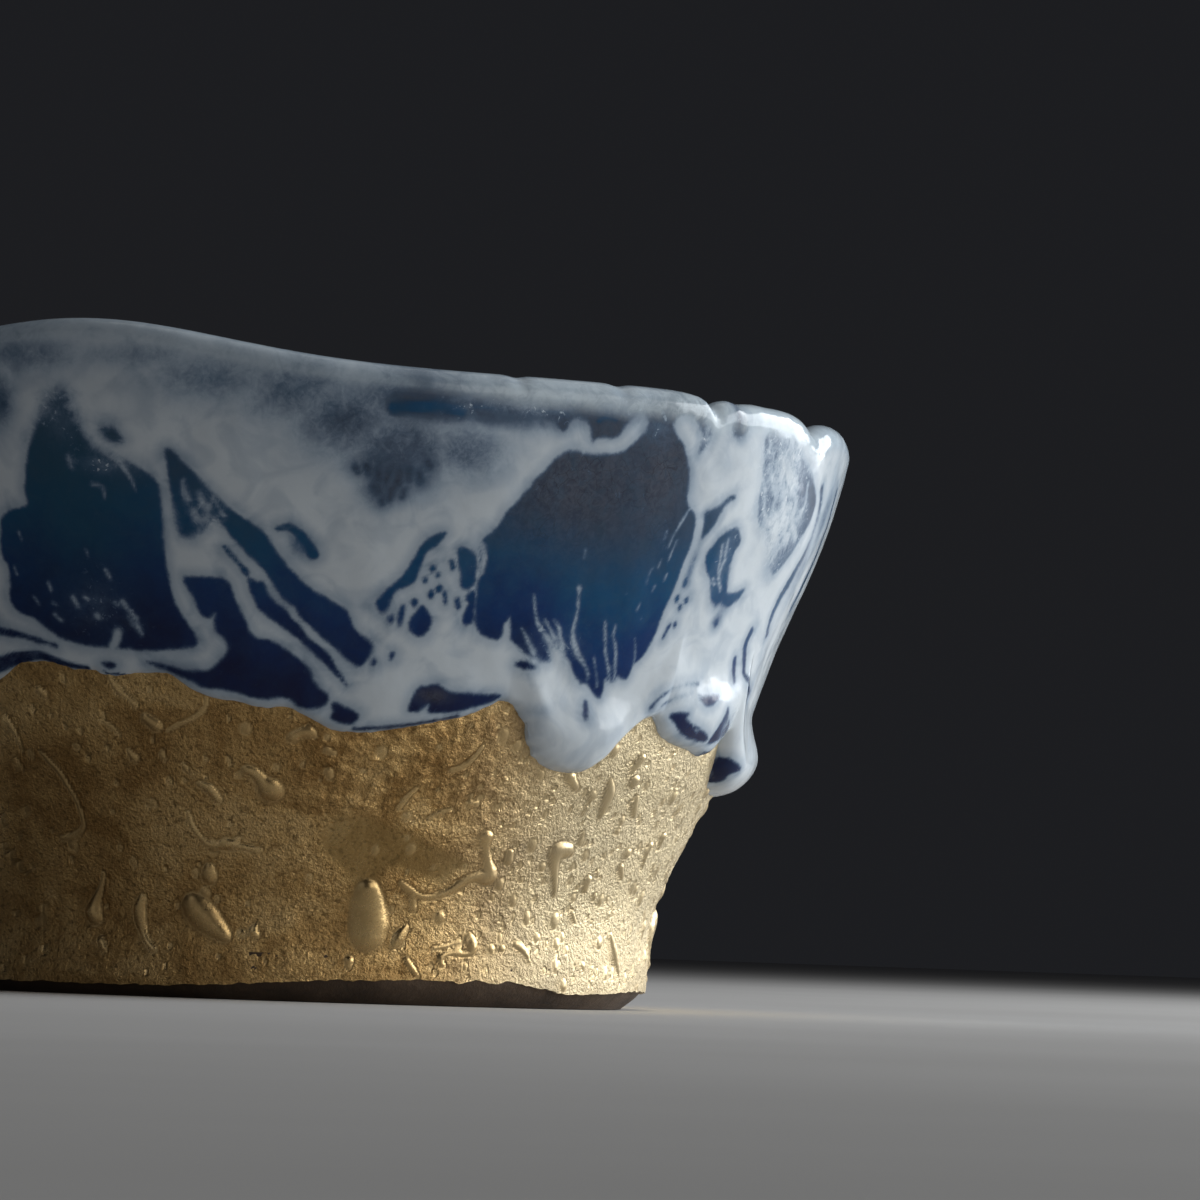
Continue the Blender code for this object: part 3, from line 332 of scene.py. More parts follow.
# Runs and drops of gold, each a chain of points with a half width after each point
GOLD_DROPS = (
    (6.1, 7.6, 0.85, 6.15, 6.8, 1.1, 6.25, 5.6, 1.3, 6.2, 4.8, 1.2, 6.15, 4.4, 0.95),
    (14.2, 11.7, 0.55, 14.2, 10.9, 0.32, 14.35, 10, 0.36, 14.4, 9, 0.7, 13.7, 8.95, 0.42, 12.8, 8.6, 0.36,
     12, 8, 0.36, 11.2, 7.6, 0.3, 10.3, 7.35, 0.26, 9.5, 7.5, 0.28, 8.9, 7.9, 0.34, 8.4, 8.3, 0.25),
    (9.2, 7.4, 0.28, 9.3, 6.5, 0.3),
    (19.8, 11, 0.6, 19.2, 10.9, 0.7, 19, 10.2, 0.5, 19.05, 9.3, 0.32, 19.1, 8.4, 0.26, 19.1, 7.8, 0.18),
    (15.9, 10.7, 0.3, 15.8, 10.1, 0.36), (21.4, 9, 0.36, 21.2, 8.3, 0.32), (22, 9.6, 0.22, 22, 9.2, 0.2),
    (23.6, 9.9, 0.34, 23.7, 9.2, 0.25), (20.4, 6.6, 0.25, 20.6, 6, 0.22),
    (16.5, 4.3, 0.3, 16.9, 4.1, 0.36, 17.3, 3.6, 0.26, 17.6, 3.1, 0.18),
    (13.3, 4.8, 0.28, 13.5, 4.2, 0.46, 13.4, 3.6, 0.3, 12.6, 3.5, 0.25, 11.9, 3.5, 0.25, 11.4, 3.2, 0.32,
     11.5, 2.7, 0.25),
    (10.8, 3.8, 0.2, 11.6, 4, 0.22, 12.5, 4.3, 0.18), (8.9, 5.3, 0.22, 8.4, 4.5, 0.48, 8.1, 3.9, 0.3),
    (9, 3, 0.25, 9.4, 2.4, 0.3, 9.8, 1.9, 0.2), (5, 2.8, 0.36, 5, 2.3, 0.25),
    (22.75, 16, 0.25, 22.7, 15.1, 0.48, 22.4, 14.2, 0.42, 22.1, 13.4, 0.22),
    (24.9, 17.6, 0.4, 24.5, 17, 0.32, 24.2, 16.6, 0.2), (24.4, 16, 0.5, 24.3, 15.8, 0.4),
    (24.6, 14.9, 0.22, 24.4, 14.2, 0.36, 24.4, 13.6, 0.3),
    (23.1, 5.2, 0.25, 23.4, 4.2, 0.42, 23.7, 3.2, 0.38, 23.9, 2.4, 0.2),
    (25.6, 11.5, 0.38, 25.3, 10.7, 0.3, 25.1, 9.9, 0.2), (26.5, 12.2, 0.35, 26.2, 11.4, 0.25),
    (20.9, 12.3, 0.2, 20.9, 12, 0.2), (20.2, 16.1, 0.42, 20.3, 15.4, 0.3), (13, 14, 0.3, 13.4, 14, 0.32),
    (21.9, 7.9, 0.24, 21.8, 7.6, 0.2), (8.1, 13.6, 0.25, 8.6, 14.3, 0.22, 9.3, 15, 0.18),
    (10.2, 12.9, 0.2, 10.9, 13.3, 0.22, 11.7, 13.6, 0.18),
    (11.6, 16.3, 0.25, 12.6, 16.7, 0.24, 13.3, 17.4, 0.2, 13.8, 18.1, 0.15),
    (-12.3, 22, 0.25, -11.6, 21, 0.34, -11, 20.6, 0.24, -10.5, 20.1, 0.3),
    (-9.7, 19.2, 0.42, -9, 18.7, 0.5),
    (-5.6, 20.8, 0.18, -5.7, 20, 0.2, -6.5, 19.3, 0.18, -7.5, 18.8, 0.2, -8.2, 18.4, 0.15),
    (-19.9, 19.6, 0.22, -19.2, 18.6, 0.3, -18.6, 17.6, 0.26, -18.2, 16.7, 0.2),
    (-18.6, 16, 0.3, -18.2, 15.4, 0.24),
    (-16.9, 16.6, 0.2, -16.2, 15.9, 0.3, -15.5, 15.2, 0.28, -14.9, 14.3, 0.25, -14.3, 13.4, 0.2, -13.9,
     12.4, 0.2, -13.7, 11.5, 0.22, -14.3, 10.8, 0.3, -15.1, 10.6, 0.28),
    (-10.8, 16.9, 0.22, -10.4, 16.4, 0.38), (-12.8, 19, 0.16, -12.2, 18.6, 0.22, -11.5, 18, 0.18),
    (-8.6, 16.7, 0.2, -8.3, 16.4, 0.24), (-7, 16.1, 0.2, -6.8, 15.8, 0.28),
    (-5.7, 14.7, 0.34, -5.1, 14.4, 0.4, -4.5, 13.7, 0.36),
    (-2.6, 15.8, 0.42, -2, 15.6, 0.46, -1.4, 15, 0.55, -0.9, 14.5, 0.85, -0.7, 14.4, 0.75),
    (0.5, 18.2, 0.42, 1, 18.5, 0.42, 1.7, 18.6, 0.44, 2.1, 18.3, 0.2), (3.1, 15.9, 0.38, 3.2, 15.6, 0.3),
    (2.9, 17.4, 0.3, 3.4, 17.2, 0.25),
    (-6.5, 12.7, 0.2, -6.2, 11.8, 0.25, -5.6, 11, 0.26, -5, 10.5, 0.32, -4.3, 10.45, 0.36, -3.7, 10.6,
     0.5, -3.1, 10.5, 0.32, -2.3, 10.35, 0.3, -1.4, 10.3, 0.2),
    (-2.9, 11.1, 0.18, -3.2, 10.7, 0.3), (-4.9, 8.9, 0.4, -4.9, 8.4, 0.56, -4.85, 8.1, 0.45),
    (-5.9, 6.4, 0.75, -5.6, 6, 1, -5.1, 5.5, 1, -4.6, 5, 0.85, -4, 4.5, 0.65, -3.7, 4.2, 0.5),
    (-1.5, 5.1, 0.16, -1.7, 4.6, 0.38, -1.5, 4.3, 0.3),
    (-12.2, 8.3, 0.18, -12.3, 7.4, 0.22, -12.7, 6.1, 0.45, -12.8, 5.5, 0.66, -12.7, 5.2, 0.6),
    (-9.4, 6.7, 0.3, -9.6, 5.9, 0.46, -9.5, 5, 0.44, -9.3, 4.3, 0.32, -9, 3.6, 0.26, -8.6, 3.1, 0.3),
    (-19.3, 10, 0.2, -18.6, 9.2, 0.32, -18.1, 8.6, 0.28, -17.6, 8.1, 0.2),
    (-19.8, 12.3, 0.25, -19.3, 11.5, 0.26), (-16.2, 5.7, 0.32, -16.3, 4.6, 0.42),
    (-12.2, 3.6, 0.34, -12, 3, 0.3), (-17.2, 20.9, 0.32, -16.8, 20.6, 0.36),
)
# The smooth, darker patch of leaf in the middle
OLIVE_PATCH = (
    2.6, 10.2, 3, 12.4, 5, 13.1, 7, 12.7, 9.2, 11.9, 11, 11.1, 12.7, 10.3, 13.1, 9.6, 12.2, 8.8, 11, 8.1,
    9.4, 8.4, 8, 9, 7.2, 8.6, 7.4, 6, 6.6, 3.6, 5.4, 3.8, 4.8, 5.4, 4.9, 7.6, 4, 9,
)
# A fold in the leaf at the left
LEAF_FOLD = ((-15.2, 11.0), (-15.3, 8.0), (-15.1, 5.0), (-15.2, 2.5), (-15.2, 0.7))
# The edge of the leaf above the bare foot
LEAF_EDGE = (
    -26, 0.7, -21, 0.65, -15, 0.6, -8, 0.6, -4, 0.75, 0, 1.1, 4, 1.35, 9, 1.55, 12, 1.6, 13, 1.4, 14, 1.7,
    15.2, 1.45, 16.2, 1.7, 17, 1.5, 18.5, 1.25, 20, 0.95, 24, 1.1,
)

# Where what is drawn on the front comes again round the cup: shift, stretch, and the
# angles of the front that it takes in
COPIES = ((104.0, 0.9, -21.0, 20.0), (156.0, 0.84, -90.0, 90.0), (252.0, 0.84, -90.0, 90.0))
COPY_HALF_WIDTH = 0.2

# The angles that the camera reaches, where a mesh is finer, and the degrees from one
# column of points to the next: there, then elsewhere
FINE_FROM = -36.0
FINE_TO = 97.0
GLAZE_STEPS = (0.225, 0.76)
INSIDE_STEPS = (0.9, 0.9)
GOLD_STEPS = (0.26, 1.14)
FOOT_STEPS = (0.6, 1.2)
SHARP_ANGLE = 62.0

# The rows of points, and the heights of the first few above the glaze's lower edge
EDGE_STEPS = (0.0, 0.03, 0.08, 0.16, 0.27, 0.42, 0.6)
OUTSIDE_ROWS = 88
LIP_ROWS = 10
GOLD_ROWS = 136

# How far below the lip's shoulder the two pieces of glaze meet
SEAM_BELOW_LIP = 4.0

# How many small drops and grains the leaf has, and the ring that its jagged edge is read on
CRUMB_COUNT = 900
JAG_RADIUS = 26.0

# Radii that turn a distance on the wall into an angle
NARROW_RADIUS = 30.0
PATCH_RADIUS = 37.0

# The largest distance from the white's edge that is kept
FLOW_LIMIT = 1.5

# How deep the glaze's colour is, by share of the way from its lower edge to the lip
TONE_SHARES = (0.0, 0.2, 0.42, 0.65, 0.85, 1.0)
TONES = (1.0, 0.86, 0.56, 0.3, 0.14, 0.05)

# What the glaze is like inside the lip, where its two pieces meet
SEAM_FIELDS = {
    "flow": 1.0, "thin_and_shade": 0.3, "haze": 0.15, "tone": 0.3, "teal": 0.3, "brown": 0.0, "lip": 0.6, "soft": 0.5,
}
GOLD_FIELDS = ("painted_shade", "worn", "painted_lit_side", "olive", "drop")

# Half the floor's side, in metres
FLOOR_HALF = 1.6


def ease(t):
    t = np.clip(t, 0.0, 1.0)
    return t * t * (3.0 - 2.0 * t)


def dome(t):
    """0 to 1 along a quarter circle, upright at its start."""
    return np.sqrt(1.0 - (1.0 - np.clip(t, 0.0, 1.0)) ** 2)


def between(angle, centre):
    return (np.asarray(angle) - centre + 180.0) % 360.0 - 180.0


def swell(angle, centre, half_width, squareness=2.0):
    return np.exp(-np.abs(between(angle, centre) / half_width) ** squareness)


def sector(angle, start, rise, end, fall):
    """1 between two angles, easing in after the first and out before the second."""
    return ease((angle - start) / rise) * ease((end - angle) / fall)


def swells(angle, rows):
    return sum(size * swell(angle, at, width) for at, width, size in rows)


def read_outline(t):
    """The wall's outline at the shares t of its height, by cubic steps."""
    xs, ys = np.array(WALL_OUTLINE).T
    t = np.clip(t, xs[0], xs[-1])
    i = np.clip(np.searchsorted(xs, t, side="right") - 1, 0, len(xs) - 2)
    before, after = np.maximum(i - 1, 0), np.minimum(i + 2, len(xs) - 1)
    span = xs[i + 1] - xs[i]
    slope_start = (ys[i + 1] - ys[before]) / (xs[i + 1] - xs[before])
    slope_end = (ys[after] - ys[i]) / (xs[after] - xs[i])
    s = (t - xs[i]) / span
    return (
        (2 * s**3 - 3 * s**2 + 1) * ys[i]
        + (s**3 - 2 * s**2 + s) * span * slope_start
        + (3 * s**2 - 2 * s**3) * ys[i + 1]
        + (s**3 - s**2) * span * slope_end
    )


def lip_height(angle, rows=LIP_WAVES + LIP_NICKS):
    return LIP_HEIGHT + swells(angle, rows)


def plan_shift(angle, height):
    share = (height / LIP_HEIGHT - PLAN_WAVES_START) / (1.0 - PLAN_WAVES_START)
    return swells(angle, PLAN_WAVES) * ease(share)


def run_at(angle):
    """Drop and bead of the solid's glaze runs at the angles."""
    drop = np.zeros(np.shape(angle))
    bead = np.zeros(np.shape(angle))
    for at, width, run_drop, square, run_bead in GLAZE_RUNS:
        share = swell(angle, at, width, square)
        bead = np.maximum(bead, run_bead * share)
        drop = np.maximum(drop, run_drop * share)
    return drop, bead


def wall_radius(height):
    height = np.asarray(height, float)
    rounding = np.sin(np.clip(height / FOOT_CHAMFER_HEIGHT, 0.0, 1.0) * math.pi / 2)
    chamfer = BASE_RADIUS + (FOOT_RADIUS - BASE_RADIUS) * rounding
    share = (height - FOOT_BAND_HEIGHT) / (LIP_HEIGHT - FOOT_BAND_HEIGHT)
    flared = FOOT_RADIUS + (LIP_RADIUS - GLAZE_THICKNESS - FOOT_RADIUS) * read_outline(share)
    band = np.where(height <= FOOT_BAND_HEIGHT, FOOT_RADIUS, flared)
    return np.where(height <= FOOT_CHAMFER_HEIGHT, chamfer, band)


def inside_radius(angle, height):
    share = (height - FLOOR_THICKNESS) / (LIP_HEIGHT - FLOOR_THICKNESS)
    wall = LOWER_WALL + (LIP_WALL - LOWER_WALL) * ease(share)
    radius = wall_radius(height) + GLAZE_THICKNESS + plan_shift(angle, height) - wall
    below = np.clip((FLOOR_THICKNESS + BOWL_DEPTH - height) / BOWL_DEPTH, 0.0, 1.0)
    return radius * (1.0 - below**BOWL_FULLNESS) ** (1.0 / BOWL_FULLNESS)


def bead_at(angle, height, gap):
    """How far the glaze's runs stand out, by height and by distance from their edge."""
    drop, bead = run_at(angle)
    above = height - (SKIRT_HEIGHT - drop)
    gentle = sum(run[4] * swell(angle, run[0], run[1] * 0.8) for run in GLAZE_RUNS)
    bead = bead + (gentle - bead) * ease((above - 0.5) / 3.5)
    return bead * dome(gap / 2.0) * (1.0 - ease((above - BEAD_HEAD) / (BEAD_HEIGHT - BEAD_HEAD)))


def glaze_radius(angle, height):
    above = height - (SKIRT_HEIGHT - run_at(angle)[0])
    plain = wall_radius(height) + plan_shift(angle, height)
    glaze = np.where(above > -0.5, GLAZE_THICKNESS, 0.0)
    return plain + glaze + bead_at(angle, height, np.maximum(above, 0.0))


def to_surface(points):
    """Angle and height on the cup of points drawn as they look from the camera."""
    x, z = np.reshape(points, (-1, 2)).T
    radius = np.full(len(x), 36.0)
    angle = np.zeros(len(x))
    for _ in range(14):
        near = (CAMERA_AWAY - radius * np.cos(np.radians(angle))) / CAMERA_AWAY
        height = CAMERA_HEIGHT + (z - CAMERA_HEIGHT) * near
        radius = glaze_radius(angle, height)
        angle = np.degrees(np.arcsin(np.clip(x * near / radius, -1.0, 1.0)))
    return np.stack([angle, height], 1)


def place(angle, height, radius):
    turn = np.radians(angle)
    across, away = AXIS_X + radius * np.sin(turn), AXIS_Y - radius * np.cos(turn)
    return np.stack(np.broadcast_arrays(across, away, height), -1)


def smooth_path(points, closed, cuts=4):
    """A smooth curve through the points."""
    count = len(points)
    made = []
    for i in range(count if closed else count - 1):
        steps = [(i + k) % count if closed else min(max(i + k, 0), count - 1) for k in (-1, 0, 1, 2)]
        p0, p1, p2, p3 = points[steps]
        for s in np.arange(cuts) / cuts:
            made.append(0.5 * (2 * p1 + (p2 - p0) * s + (2 * p0 - 5 * p1 + 4 * p2 - p3) * s**2
                               + (3 * p1 - p0 - 3 * p2 + p3) * s**3))
    if not closed:
        made.append(points[-1])
    return np.array(made)


def strokes(rows):
    """Smooth lines on the surface, each with its half width at both ends."""
    return [(smooth_path(to_surface(row[2:]), False), row[0], row[1]) for row in rows]


skirt_drawn = to_surface(SKIRT_LINE)


def skirt_height(angle):
    """Height of the glaze's lower edge: drawn across the front, by runs elsewhere."""
    plain = SKIRT_HEIGHT - run_at(angle)[0]
    turned = between(angle, 0.0)
    drawn = np.interp(turned, *skirt_drawn.T)
    share = ease((turned - skirt_drawn[0, 0]) / SKIRT_BLEND)
    share = share * ease((SKIRT_LINE_END - turned) / SKIRT_BLEND + 0.5)
    return plain + (drawn - plain) * share


class Drawing:
    """Points of a surface by angle and height, with their distances to what is drawn on it."""

    def __init__(self, angle, height, radius_of):
        self.angle = angle.ravel()
        self.height = height.ravel()
        self.radius_of = radius_of
        self.places = self.spots(self.angle, self.height)

    def spots(self, angle, height):
        return place(angle, height, self.radius_of(angle, height))

    def near(self, path, margin):
        (left, low), (right, high) = path.min(0), path.max(0)
        reach = (right - left) / 2 + math.degrees(margin / NARROW_RADIUS)
        beside = np.abs(between(self.angle, (left + right) / 2)) <= reach
        return np.nonzero(beside & (self.height >= low - margin) & (self.height <= high + margin))[0]

    def stretches(self, chosen, path, halves):
        """For each stretch of the line: the points' distances to it, and its half width there."""
        points = self.spots(path[:, 0], path[:, 1])
        own = self.places[chosen]
        for start, end, half, next_half in zip(points, points[1:], halves, halves[1:]):
            along = end - start
            t = np.clip((own - start) @ along / max(along @ along, 1e-12), 0.0, 1.0)
            yield np.linalg.norm(own - start - t[:, None] * along, axis=1), half + (next_half - half) * t

    def reach(self, chosen, path, halves):
        """How far inside the drawn line the chosen points are: half width less distance."""
        return np.max([half - gap for gap, half in self.stretches(chosen, path, halves)], axis=0)

    def bead(self, chosen, path, halves):
        """Share of the way out across a chain of round beads, and how far they stand out."""
        found = list(self.stretches(chosen, path, halves))
        rises = [half * (0.85 - 0.3 * half) * np.clip(1.0 - (gap / half / 1.12) ** 2, 0.0, 1.0)
                 for gap, half in found]
        return np.min([gap / half for gap, half in found], axis=0), np.max(rises, axis=0)

    def inside(self, chosen, path):
        centre = (path[:, 0].min() + path[:, 0].max()) / 2
        x, y = between(self.angle[chosen], centre), self.height[chosen]
        odd = np.zeros(len(chosen), bool)
        for (x0, y0), (x1, y1) in zip(np.roll(path, 1, 0) - (centre, 0), path - (centre, 0)):
            crosses = (y0 > y) != (y1 > y)
            if crosses.any():
                odd ^= crosses & (x < x0 + (y - y0) / (y1 - y0) * (x1 - x0))
        return odd

    def cell(self, path, margin=2.5):
        """Chosen points and their distance into the closed outline, below 0 outside it."""
        chosen = self.near(path, margin)
        closed = np.vstack([path, path[:1]])
        gap = -self.reach(chosen, closed, np.zeros(len(closed)))
        return chosen, np.where(self.inside(chosen, path), gap, -gap)

    def line(self, path, start, end, margin=2.5):
        chosen = self.near(path, margin)
        return chosen, self.reach(chosen, path, np.linspace(start, end, len(path)))

    def patch(self, centre_angle, centre_height, half_width, half_height):
        across = np.radians(between(self.angle, centre_angle)) * PATCH_RADIUS / half_width
        return np.exp(-(across**2 + ((self.height - centre_height) / half_height) ** 2))


def noise_at(places, size, detail=3, shift=0.0):
    spots = np.reshape(places, (-1, 3)) / size + (shift, 0.0, 0.0)
    made = [noise.fractal(Vector(spot), 1.0, 2.0, detail) for spot in spots]
    return np.reshape(made, np.shape(places)[:-1])


def tree_of(places):
    tree = kdtree.KDTree(len(places))
    for i, spot in enumerate(places.tolist()):
        tree.insert(spot, i)
    tree.balance()
    return tree


def columns(fine_step, coarse_step):
    """Angles round the cup, close together where the photo's view reaches."""
    fine = np.arange(FINE_FROM, FINE_TO, fine_step)
    span = 360.0 - (FINE_TO - FINE_FROM)
    count = round(span / coarse_step)
    return np.concatenate([fine, FINE_TO + span * np.arange(count) / count])


def new_piece(name, grid, material, fields, poles=None):
    """A mesh from rows of points around the cup. The last row joins the first, or both
    close on a pole."""
    rows, count, _ = grid.shape
    verts = grid.reshape(-1, 3)
    row = np.arange(rows if poles is None else rows - 1)[:, None]
    low, high = row * count, (row + 1) % rows * count
    j = np.arange(count)[None, :]
    right = (j + 1) % count
    quads = np.stack(np.broadcast_arrays(low + j, low + right, high + right, high + j), -1)
    faces = quads.reshape(-1, 4).tolist()
    if poles is not None:
        first, last = len(verts), len(verts) - count
        verts = np.concatenate([verts, poles])
        faces += [(first, (k + 1) % count, k) for k in range(count)]
        faces += [(first + 1, last + k, last + (k + 1) % count) for k in range(count)]
    mesh = bpy.data.meshes.new(name)
    mesh.from_pydata((verts * MM).tolist(), [], faces)
    mesh.shade_smooth()
    mesh.set_sharp_from_angle(angle=math.radians(SHARP_ANGLE))
    for field, values in fields.items():
        attribute = mesh.attributes.new(field, "FLOAT", "POINT")
        full = np.append(values, np.full(len(verts) - len(values), values[-1]))
        attribute.data.foreach_set("value", full.astype(np.float32))
    mesh.materials.append(material)
    piece = bpy.data.objects.new(name, mesh)
    bpy.context.scene.collection.objects.link(piece)
    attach(piece, "root")
    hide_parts("sake_cup")
    return piece


class Value:
    """A number or colour in a material, which takes part in sums."""

    def __init__(self, shader, socket):
        self.shader, self.socket = shader, socket

    def __add__(self, other):
        return self.shader.math("ADD", self, other)

    def __sub__(self, other):
        return self.shader.math("SUBTRACT", self, other)

    def __rsub__(self, other):
        return self.shader.math("SUBTRACT", other, self)

    def __mul__(self, other):
        return self.shader.math("MULTIPLY", self, other)


class Shader:
    """Short calls for a material's nodes. Sizes are in millimetres."""

    def __init__(self, name):
        self.material = bpy.data.materials.new(name)
        self.material.use_nodes = True
        self.tree = self.material.node_tree
        self.surface = self.tree.nodes["Principled BSDF"]
        self.coords = self.node("TexCoord", "Object", {})

    def link(self, value, socket):
        if isinstance(value, Value):
            self.tree.links.new(value.socket, socket)
        else:
            socket.default_value = value

    def node(self, kind, output, inputs, **settings):
        node = self.tree.nodes.new("ShaderNode" + kind)
        for name, setting in settings.items():
            setattr(node, name, setting)
        for name, value in inputs.items():
            self.link(value, node.inputs[name])
        return Value(self, node.outputs[output])

    def field(self, name):
        return self.node("Attribute", "Fac", {}, attribute_name=name)

    def math(self, operation, a, b, clamp=False):
        return self.node("Math", 0, {0: a, 1: b}, operation=operation, use_clamp=clamp)

    def clamp(self, value):
        return self.math("ADD", value, 0.0, True)

    def mix(self, share, a, b):
        a, b = (colour if isinstance(colour, Value) else (*colour, 1.0) for colour in (a, b))
        return self.node("Mix", 2, {"Factor": share, 6: a, 7: b}, data_type="RGBA")

    def blend(self, share, a, b):
        return self.node("Mix", 0, {"Factor": share, 2: a, 3: b}, data_type="FLOAT")

    def span(self, value, low, high, to_low=0.0, to_high=1.0):
        inputs = {"Value": value, "From Min": low, "From Max": high, "To Min": to_low, "To Max": to_high}
        return self.node("MapRange", 0, inputs, interpolation_type="SMOOTHSTEP")

    def ramp(self, value, stops):
        made = self.node("ValToRGB", 0, {0: value})
        bar = made.socket.node.color_ramp.elements
        while len(bar) < len(stops):
            bar.new(0.5)
        for element, (position, colour) in zip(bar, stops):
            element.position = position
            element.color = (*colour, 1.0)
        return made

    def noise(self, size, detail=3.0, rough=0.5, warp=0.0, output=0):
        inputs = {"Vector": self.coords, "Scale": 1.0 / (size * MM), "Detail": detail,
                  "Roughness": rough, "Distortion": warp}
        return self.node("TexNoise", output, inputs)

    def cells(self, size, feature, where):
        inputs = {"Vector": where, "Scale": 1.0 / (size * MM)}
        return self.node("TexVoronoi", "Distance", inputs, feature=feature)

    def bump(self, height, strength, depth):
        return self.node("Bump", 0, {"Strength": strength, "Distance": depth * MM, "Height": height})

    def set(self, **values):
        for name, value in values.items():
            self.link(value, self.surface.inputs[name.replace("_", " ")])


# The materials
def glaze_material():
    s = Shader("milky_blue_glaze")
    flow, thin_and_shade, haze, tone, teal, brown, lip, soft = (s.field(name) for name in SEAM_FIELDS)
    cloud = s.noise(2.6, 5.0, 0.62, 0.4)
    streak = s.noise(1.1, 5.0, 0.7, 0.8)
    silk = s.noise(3.0, 3.0, 0.5, 1.2)
    fibre = s.noise(0.5, 4.0, 0.65, 1.0)

    # how much white foam there is, and how milky the glaze is beside it
    wander = (s.noise(0.7, 4.0, 0.6) - 0.5) * 0.3 + (s.noise(0.22, 3.0, 0.6) - 0.5) * 0.1
    edge = flow + wander + soft * 1.3 * (streak - 0.5)
    core = s.span(edge, 0.05, 1.1, 0.7, 1.0) - s.span(silk, 0.45, 0.7) * 0.16
    foam = s.span(edge, soft * -0.75 - 0.12, soft * 0.45 + 0.2) * core
    glow = s.span(edge, -0.8, 0.1)
    mottle = (cloud - 0.5) * 0.5 + (streak - 0.5) * 0.9 + (fibre - 0.5) * 0.7
    speck = s.span(s.noise(0.4, 3.0, 0.6, 0.6), 0.6, 0.7) * s.span(cloud, 0.42, 0.62)
    # thin glaze, and at one patch painted shade, greys the white
    thin_now = s.clamp(thin_and_shade + mottle * thin_and_shade * 0.9)
    haze_now = s.clamp(haze + mottle * haze * 1.3)
    haze_now = s.clamp(haze_now + glow * glow * 0.1)
    haze_now = s.clamp(haze_now + speck * (haze * 1.1 + 0.12))
    milk = s.blend(foam, haze_now, 1.0 - thin_now)

    # the clear glaze in the windows, paler above, navy below, crackled where it is brown
    deep_tone = s.clamp(tone + (cloud - 0.5) * 0.35)
    deep = s.ramp(deep_tone, (
        (0.0, (0.07, 0.085, 0.12)), (0.3, (0.026, 0.062, 0.12)), (0.5, (0.003, 0.068, 0.17)),
        (0.72, (0.001, 0.028, 0.13)), (1.0, (0.001, 0.006, 0.05))))
    greener = s.ramp(deep_tone, (
        (0.0, (0.015, 0.09, 0.135)), (0.6, (0.004, 0.06, 0.115)), (1.0, (0.001, 0.012, 0.055))))
    clouded = s.mix(s.span(fibre, 0.35, 0.65), (0.05, 0.051, 0.068), (0.088, 0.09, 0.112))
    deep = s.mix(teal * 0.9, deep, greener)
    deep = s.mix(brown * 0.85, deep, clouded)
    deep = s.mix(s.span(streak, 0.4, 0.75) * (tone * -0.45 + 0.5), deep, (0.035, 0.085, 0.14))
    bends = {0: s.noise(1.6, 4.0, output="Color"), 1: (0.0011, 0.0011, 0.0011), 2: s.coords}
    bent = s.node("VectorMath", 0, bends, operation="MULTIPLY_ADD")
    crack = s.span(s.cells(0.95, "DISTANCE_TO_EDGE", bent), 0.0, 0.045, 1.0, 0.0)
    deep = s.mix(crack * brown * s.span(cloud, 0.4, 0.62, 0.1, 0.6), deep, (0.02, 0.018, 0.02))

    white = s.ramp(milk + (cloud - 0.5) * 0.12, (
        (0.0, (0.04, 0.10, 0.2)), (0.35, (0.13, 0.2, 0.31)), (0.7, (0.38, 0.46, 0.55)),
        (1.0, (0.63, 0.69, 0.74))))
    colour = s.mix(s.span(milk, 0.0, 0.75), deep, white)
    # the lip band's pale glaze, its reach on the right widened as painted reflection
    colour = s.mix(lip * s.span(streak, 0.35, 0.65, 0.85, 0.5), colour, (0.56, 0.65, 0.71))
    pit = s.span(s.cells(0.8, "F1", s.coords), 0.0, 0.16)
    ripple = s.noise(3.5, 2.0) + s.noise(0.9, 2.0) * 0.12 + pit * 0.02
    s.set(Base_Color=colour, Metallic=0.0, Roughness=s.span(s.noise(1.4, 4.0), 0.3, 0.7, 0.07, 0.16),
          IOR=1.5, Specular_IOR_Level=0.26, Normal=s.bump(ripple, 0.35, 0.35))
    return s.material


def gold_material():
    s = Shader("gold_leaf")
    painted_shade, worn, painted_lit_side, olive, drop = (s.field(name) for name in GOLD_FIELDS)
    grain = s.noise(0.2, 4.0, 0.6)
    wrinkle = s.noise(1.1, 6.0, 0.62, 1.6)
    # the pits are painted fainter on the lit side
    pits = s.span(s.noise(0.33, 3.0, 0.6), 0.52, 0.66) * (painted_lit_side * -0.35 + 0.6)
    tarnish = s.clamp(s.span(s.noise(5.0, 5.0, 0.6, 0.5), 0.3, 0.75) + worn * 0.35)
    gold = s.ramp(tarnish * 0.55 + grain * 0.45, (
        (0.1, (0.80, 0.56, 0.26)), (0.45, (0.60, 0.385, 0.155)), (0.75, (0.40, 0.235, 0.085)),
        (1.0, (0.22, 0.12, 0.04))))
    # painted light: the right side, which the key light falls on, is painted paler gold
    gold = s.mix(painted_lit_side * 0.72, gold, (0.76, 0.68, 0.48))
    gold = s.mix(pits * (1.0 - drop), gold, (0.15, 0.09, 0.035))
    gold = s.mix(olive * 0.35, gold, (0.25, 0.18, 0.07))
    gold = s.mix(drop * 0.35, gold, (0.76, 0.56, 0.28))
    # painted shade: darker gold in the crease round each drop's foot and low on the lit side
    gold = s.mix(s.clamp(painted_shade * 0.8), gold, (0.13, 0.075, 0.03))
    rough = s.span(grain, 0.3, 0.75, 0.28, 0.42) + tarnish * 0.08 + painted_lit_side * 0.1
    rough = rough - s.math("MAXIMUM", olive, drop) * 0.08
    smooth = (olive * -0.6 + 1.0) * (drop * -0.85 + 1.0)
    height = grain * (painted_lit_side * -0.2 + 1.35) + wrinkle * 0.8
    s.set(Base_Color=gold, Metallic=1.0, Roughness=rough, Normal=s.bump(height * smooth, 1.0, 0.13))
    return s.material


